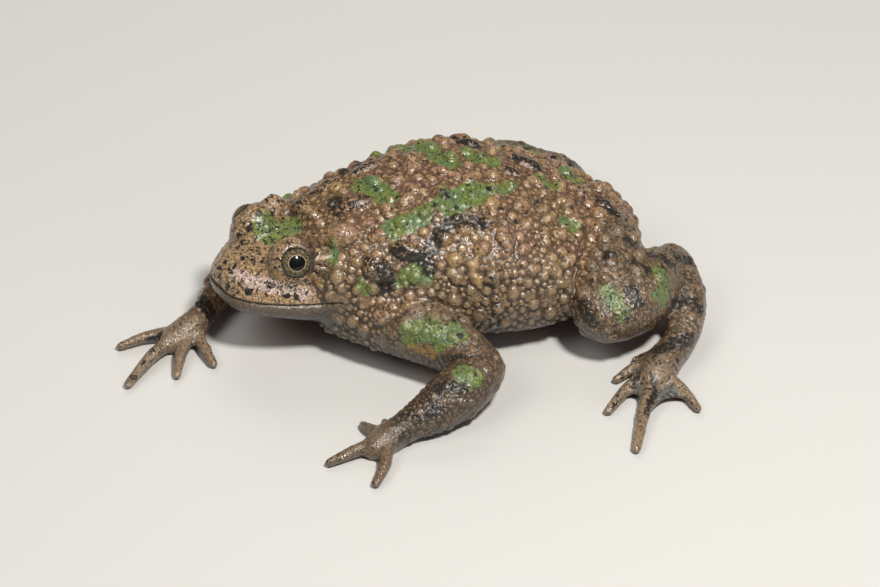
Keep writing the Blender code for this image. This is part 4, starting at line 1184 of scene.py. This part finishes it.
def skin_material():
    """Wet, warty skin: tan and pinkish brown, speckled black, with green, black and orange marks, painted
    shade in its seams, creases, throat and lower sides, and painted light on its dome tops, its snout and a
    band under the eye.
    """
    film = {"Coat Weight": 1.0, "Coat Roughness": 0.17, "Coat IOR": 1.55, "Specular IOR Level": 0.25}
    made, shader = material("toad_skin", film)
    n = Nodes(made.node_tree)
    mid = n.noise(0.55, 5.0, 0.6)
    fine = n.noise(2.2, 4.0, 0.65)
    grain = n.noise(6.5, 3.0, 0.6)
    granule = n.cells(2.6)
    dome = n.attribute("dome")
    flank = n.attribute("flank")
    limb = n.attribute("limb")

    # The ground colour: tan to pinkish brown, marbled paler and darker.
    broad = n.noise(0.16, 4.0, 0.6)
    tan = n.shade(broad, 0.40, 0.60, tone(0.34, 0.205, 0.098), tone(0.335, 0.178, 0.104))
    tan = n.shade(mid, 0.45, 0.70, tan, tone(0.375, 0.235, 0.105))
    tan = n.shade(fine, 0.54, 0.66, tan, tone(0.175, 0.095, 0.045), 0.55)
    tan = n.shade(grain, 0.56, 0.70, tan, tone(0.50, 0.35, 0.21), 0.5)
    grey = n.shade(fine, 0.44, 0.60, tone(0.24, 0.158, 0.084), tone(0.15, 0.097, 0.050))
    tan = n.lay("flank", 0.75, tan, grey)
    # The throat: grey-brown, made darker as painted shade under the jaw.
    shaded_throat = n.shade(fine, 0.44, 0.60, tone(0.165, 0.125, 0.076), tone(0.085, 0.062, 0.037))
    tan = n.lay("throat", 0.85, tan, shaded_throat)
    arm = n.shade(mid, 0.42, 0.60, tone(0.200, 0.142, 0.080), tone(0.285, 0.180, 0.100))
    arm = n.shade(fine, 0.52, 0.66, arm, tone(0.120, 0.078, 0.042), 0.45)
    tan = n.lay("limb", 0.75, tan, arm)
    # Painted shade: the body's lower sides, turning under, made dark.
    tan = n.lay("low", 0.7, tan, tone(0.070, 0.047, 0.026))
    # The snout: a honey tan, made brighter than its own colour as painted light.
    lit_honey = n.shade(mid, 0.45, 0.60, tone(0.60, 0.395, 0.230), tone(0.58, 0.40, 0.180))
    tan = n.lay("snout", 0.7, tan, lit_honey)
    # Painted sheen: the pale pinkish band under the eye, with a broken edge.
    sheen_band = n.ragged("pale", n.noise(1.8, 4.0, 0.7), 3.0, -1.6)
    tan = n.shade(sheen_band, 0.2, 0.8, tan, tone(0.86, 0.66, 0.60), 0.8)

    # Warts: painted shade in the seams between them, deepest between close ones, and round the granules, a
    # painted highlight on their paler tops, and amber on some of the large ones.
    close = n.math("MAXIMUM", flank, n.attribute("throat"))
    depth = n.math("MULTIPLY_ADD", close, -0.22, -0.48)
    depth = n.math("MULTIPLY_ADD", n.attribute("snout"), 0.30, depth)
    seam_shade = n.math("SUBTRACT", 1.0, n.step(dome, 0.0, 0.5))
    seam_shade = n.math("MULTIPLY_ADD", seam_shade, depth, 1.0)
    seam_shade = n.math("MULTIPLY", seam_shade, n.step(granule, 0.38, 0.64, 1.0, 0.55))
    tan = n.mix(1.0, tan, seam_shade, "MULTIPLY")
    # Painted highlight: the domes' tops made paler, less so on the limbs.
    top = n.mix(flank, tone(0.52, 0.345, 0.195), tone(0.37, 0.250, 0.140))
    high = n.math("MULTIPLY", n.step(dome, 0.60, 0.98, 0.0, 0.5), n.math("SUBTRACT", 1.0, limb))
    tan = n.mix(high, tan, top)
    amber = n.shade(fine, 0.42, 0.60, tone(0.47, 0.31, 0.115), tone(0.28, 0.170, 0.062))
    tan = n.lay("amber", 0.6, tan, amber)

    # The digits are paler, the near arm duskier and the webs blue-grey.
    digit = n.shade(fine, 0.42, 0.62, tone(0.33, 0.235, 0.15), tone(0.16, 0.11, 0.07))
    tan = n.lay("digit", 0.7, tan, digit)
    tan = n.mix(n.attribute("dusky"), tan, colour(0.72, 0.67, 0.64), "MULTIPLY")
    web = n.shade(fine, 0.4, 0.7, tone(0.085, 0.088, 0.082), tone(0.20, 0.185, 0.145))
    tan = n.mix(n.attribute("web"), tan, web)

    # The green marks, mottled and with a broken edge.
    green = n.step(n.ragged("green", n.noise(0.95, 6.0, 0.70, 0.8), 2.6, -1.3), 0.44, 0.64)
    mottle = n.noise(2.8, 4.0, 0.7)
    leaf = n.shade(mottle, 0.40, 0.60, tone(0.075, 0.115, 0.024), tone(0.185, 0.245, 0.052))
    leaf = n.shade(n.noise(0.45, 2.0), 0.45, 0.65, leaf, tone(0.105, 0.180, 0.070))
    leaf = n.shade(grain, 0.55, 0.72, leaf, tone(0.27, 0.33, 0.12), 0.45)
    tan = n.mix(n.math("MULTIPLY", green, 0.9), tan, leaf)

    # Black flecks on the upper skin, denser on the snout, and lace on the mottled warts.
    shift = n.math("MULTIPLY", n.attribute("fleck"), 0.045)
    shift = n.math("SUBTRACT", shift, n.math("MULTIPLY", close, 0.06))
    dots = n.step(n.math("ADD", n.noise(1.15, 4.0, 0.65, 0.5), shift), 0.600, 0.612)
    tiny = n.step(n.math("ADD", n.noise(2.6, 3.0, 0.6, 0.4), shift), 0.615, 0.630)
    dots = n.math("MAXIMUM", dots, tiny)
    lace = n.step(n.noise(1.5, 4.0, 0.65, 1.0), 0.525, 0.540)
    lace = n.math("MULTIPLY", lace, n.step(n.attribute("mottled"), 0.1, 0.6))
    ink = n.step(n.ragged("black", n.noise(1.4, 5.0, 0.65, 0.6), 2.2, -1.1), 0.38, 0.44)
    ink = n.math("MULTIPLY", ink, n.step(n.noise(2.4, 3.0, 0.6), 0.600, 0.580))
    ink = n.math("MAXIMUM", n.math("MULTIPLY", ink, 0.97), n.math("MAXIMUM", dots, lace))
    spot = n.step(n.math("MULTIPLY_ADD", n.noise(3.0, 3.0), 1.6, n.attribute("spot")), 1.1, 1.25)
    ink = n.math("MAXIMUM", ink, spot)
    dark = n.shade(grain, 0.42, 0.68, tone(0.007, 0.006, 0.006), tone(0.026, 0.020, 0.014))
    skin = n.mix(n.math("MULTIPLY", ink, n.math("SUBTRACT", 1.0, n.attribute("under"))), tan, dark)
    warm = n.step(n.ragged("orange", n.noise(1.3, 5.0, 0.7), 2.4, -1.2), 0.35, 0.95, 0.0, 0.5)
    warm = n.math("MULTIPLY", warm, n.math("SUBTRACT", 1.0, ink))
    skin = n.mix(warm, skin, tone(0.38, 0.205, 0.040))

    # The underside: orange-red, blotched black.
    fire = n.shade(mid, 0.35, 0.7, tone(0.60, 0.115, 0.015), tone(0.70, 0.21, 0.025))
    fire = n.shade(n.noise(0.30, 3.0, 0.55, 0.8), 0.50, 0.54, fire, tone(0.02, 0.02, 0.02))
    skin = n.shade(n.ragged("under", mid, 0.5, -0.25), 0.45, 0.62, skin, fire)

    lip = n.shade(fine, 0.44, 0.58, tone(0.17, 0.130, 0.085), tone(0.075, 0.056, 0.035))
    skin = n.lay("lip", 0.85, skin, lip)
    # Painted shade in the creases of the lips, nostrils, folds and lids.
    skin = n.mix(n.attribute("crease"), skin, tone(0.030, 0.020, 0.012))

    # Lumps, granules and grains in the skin, and the film over it that follows only the lumps.
    rough = n.step(n.noise(1.5, 4.0, 0.65), 0.3, 0.7, 0.40, 0.60)
    lumps = n.bump(n.noise(1.2, 4.0, 0.6), 0.00030, 0.5)
    lumps = n.bump(n.math("MULTIPLY", n.noise(2.4, 4.0, 0.65), limb), 0.00012, 0.6, lumps)
    film = n.bump(n.noise(4.0, 3.0, 0.6), 0.00012, 0.6, lumps)
    pebbles = n.bump(n.step(granule, 0.05, 0.60, 1.0, 0.0), 0.00015, 0.8, lumps)
    grains = n.bump(n.noise(5.5, 4.0, 0.65), 0.00014, 0.9, pebbles)
    finish = {"Base Color": skin, "Roughness": rough, "Normal": grains, "Coat Normal": film}
    for name, socket in finish.items():
        n.tree.links.new(socket, shader.inputs[name])
    return made


def eye_material():
    """A black pupil with a thin gold ring in an olive and cream iris, under a clear wet coat."""
    coat = {"Coat Weight": 1.0, "Coat Roughness": 0.02, "Coat IOR": 1.38}
    made, shader = material("toad_eye", {"Roughness": 0.45, "Specular IOR Level": 0.05, **coat})
    n = Nodes(made.node_tree)
    around = n.attribute("polar")
    streak = n.noise(3.2, 4.0, 0.7, 1.4)
    iris = n.shade(streak, 0.44, 0.56, colour(0.30, 0.235, 0.140), colour(0.075, 0.062, 0.026))
    iris = n.shade(n.noise(7.0, 4.0, 0.7), 0.45, 0.52, iris, colour(0.012, 0.010, 0.006))
    iris = n.shade(around, 1.70, 1.98, iris, colour(0.030, 0.024, 0.012), 0.6)
    pale = n.math("MULTIPLY", n.step(around, 1.11, 1.14), n.step(around, 1.22, 1.17))
    iris = n.mix(n.math("MULTIPLY", pale, 0.8), iris, colour(0.46, 0.36, 0.22))
    iris = n.shade(around, 1.14, 1.10, iris, colour(0.003, 0.003, 0.004))
    iris = n.shade(around, 1.98, 2.06, iris, colour(0.010, 0.008, 0.006))
    n.tree.links.new(iris, shader.inputs["Base Color"])
    return made


def to_world(obj, shift):
    """Puts a piece drawn in the toad's millimetres onto the solids."""
    obj.data.transform(Matrix.Translation(shift) @ Matrix.Diagonal((MM, MM, MM, 1)))


def add_floor():
    """A plain pale floor."""
    bm = bmesh.new()
    bmesh.ops.create_grid(bm, x_segments=1, y_segments=1, size=FLOOR_HALF)
    floor = add_mesh("floor", bm)
    pale, _ = material("floor", {"Base Color": colour(0.43, 0.425, 0.415), "Roughness": 0.85})
    floor.data.materials.append(pale)


def face(obj, spot, aim):
    """Stands a light or the camera at a spot, looking at the aim."""
    obj.location = spot
    obj.rotation_euler = (Vector(aim) - Vector(spot)).to_track_quat("-Z", "Y").to_euler()


def light_and_camera(shift):
    """Soft studio light, and the camera where the photograph was taken from."""
    scene = bpy.context.scene
    scene.world = bpy.data.worlds.new("studio")
    scene.world.use_nodes = True
    glow = scene.world.node_tree.nodes["Background"]
    glow.inputs["Color"].default_value = colour(0.95, 0.97, 1.0)
    glow.inputs["Strength"].default_value = 0.08
    scene.view_settings.view_transform = "Standard"
    aim = Vector(CAMERA_AIM) * MM + Vector(shift)
    for name, spot, shape, size, power, tint, glints in LIGHTS:
        data = bpy.data.lights.new(name, "AREA")
        data.shape = shape
        data.size = size
        data.energy = power
        data.color = tint
        light = add_object(name, data)
        light.visible_glossy = glints
        face(light, spot, aim)
    data = bpy.data.cameras.new("camera")
    data.sensor_width = SENSOR
    data.lens = SENSOR / VIEW_WIDTH
    data.clip_start = 0.01
    data.clip_end = 10.0
    scene.camera = add_object("camera", data)
    face(scene.camera, Vector(CAMERA) * MM + Vector(shift), aim)


def main():
    """Makes the skin and the eyes on the solids, and the floor, the lights and the camera."""
    low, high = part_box("eye_left")
    shift = (Vector(low) + Vector(high)) / 2 - eye_spot(1)[0] * MM
    flesh = [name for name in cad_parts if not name.startswith("eye")]
    skin = make_skin()
    skin.data.materials.append(skin_material())
    to_world(skin, shift)
    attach(skin, "root")
    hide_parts(*flesh)
    look = eye_material()
    for name, side in (("eye_left", 1), ("eye_right", -1)):
        eye = make_eye("toad_" + name, side)
        eye.data.materials.append(look)
        to_world(eye, shift)
        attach(eye, "root")
        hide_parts(name)
    add_floor()
    light_and_camera(shift)


main()
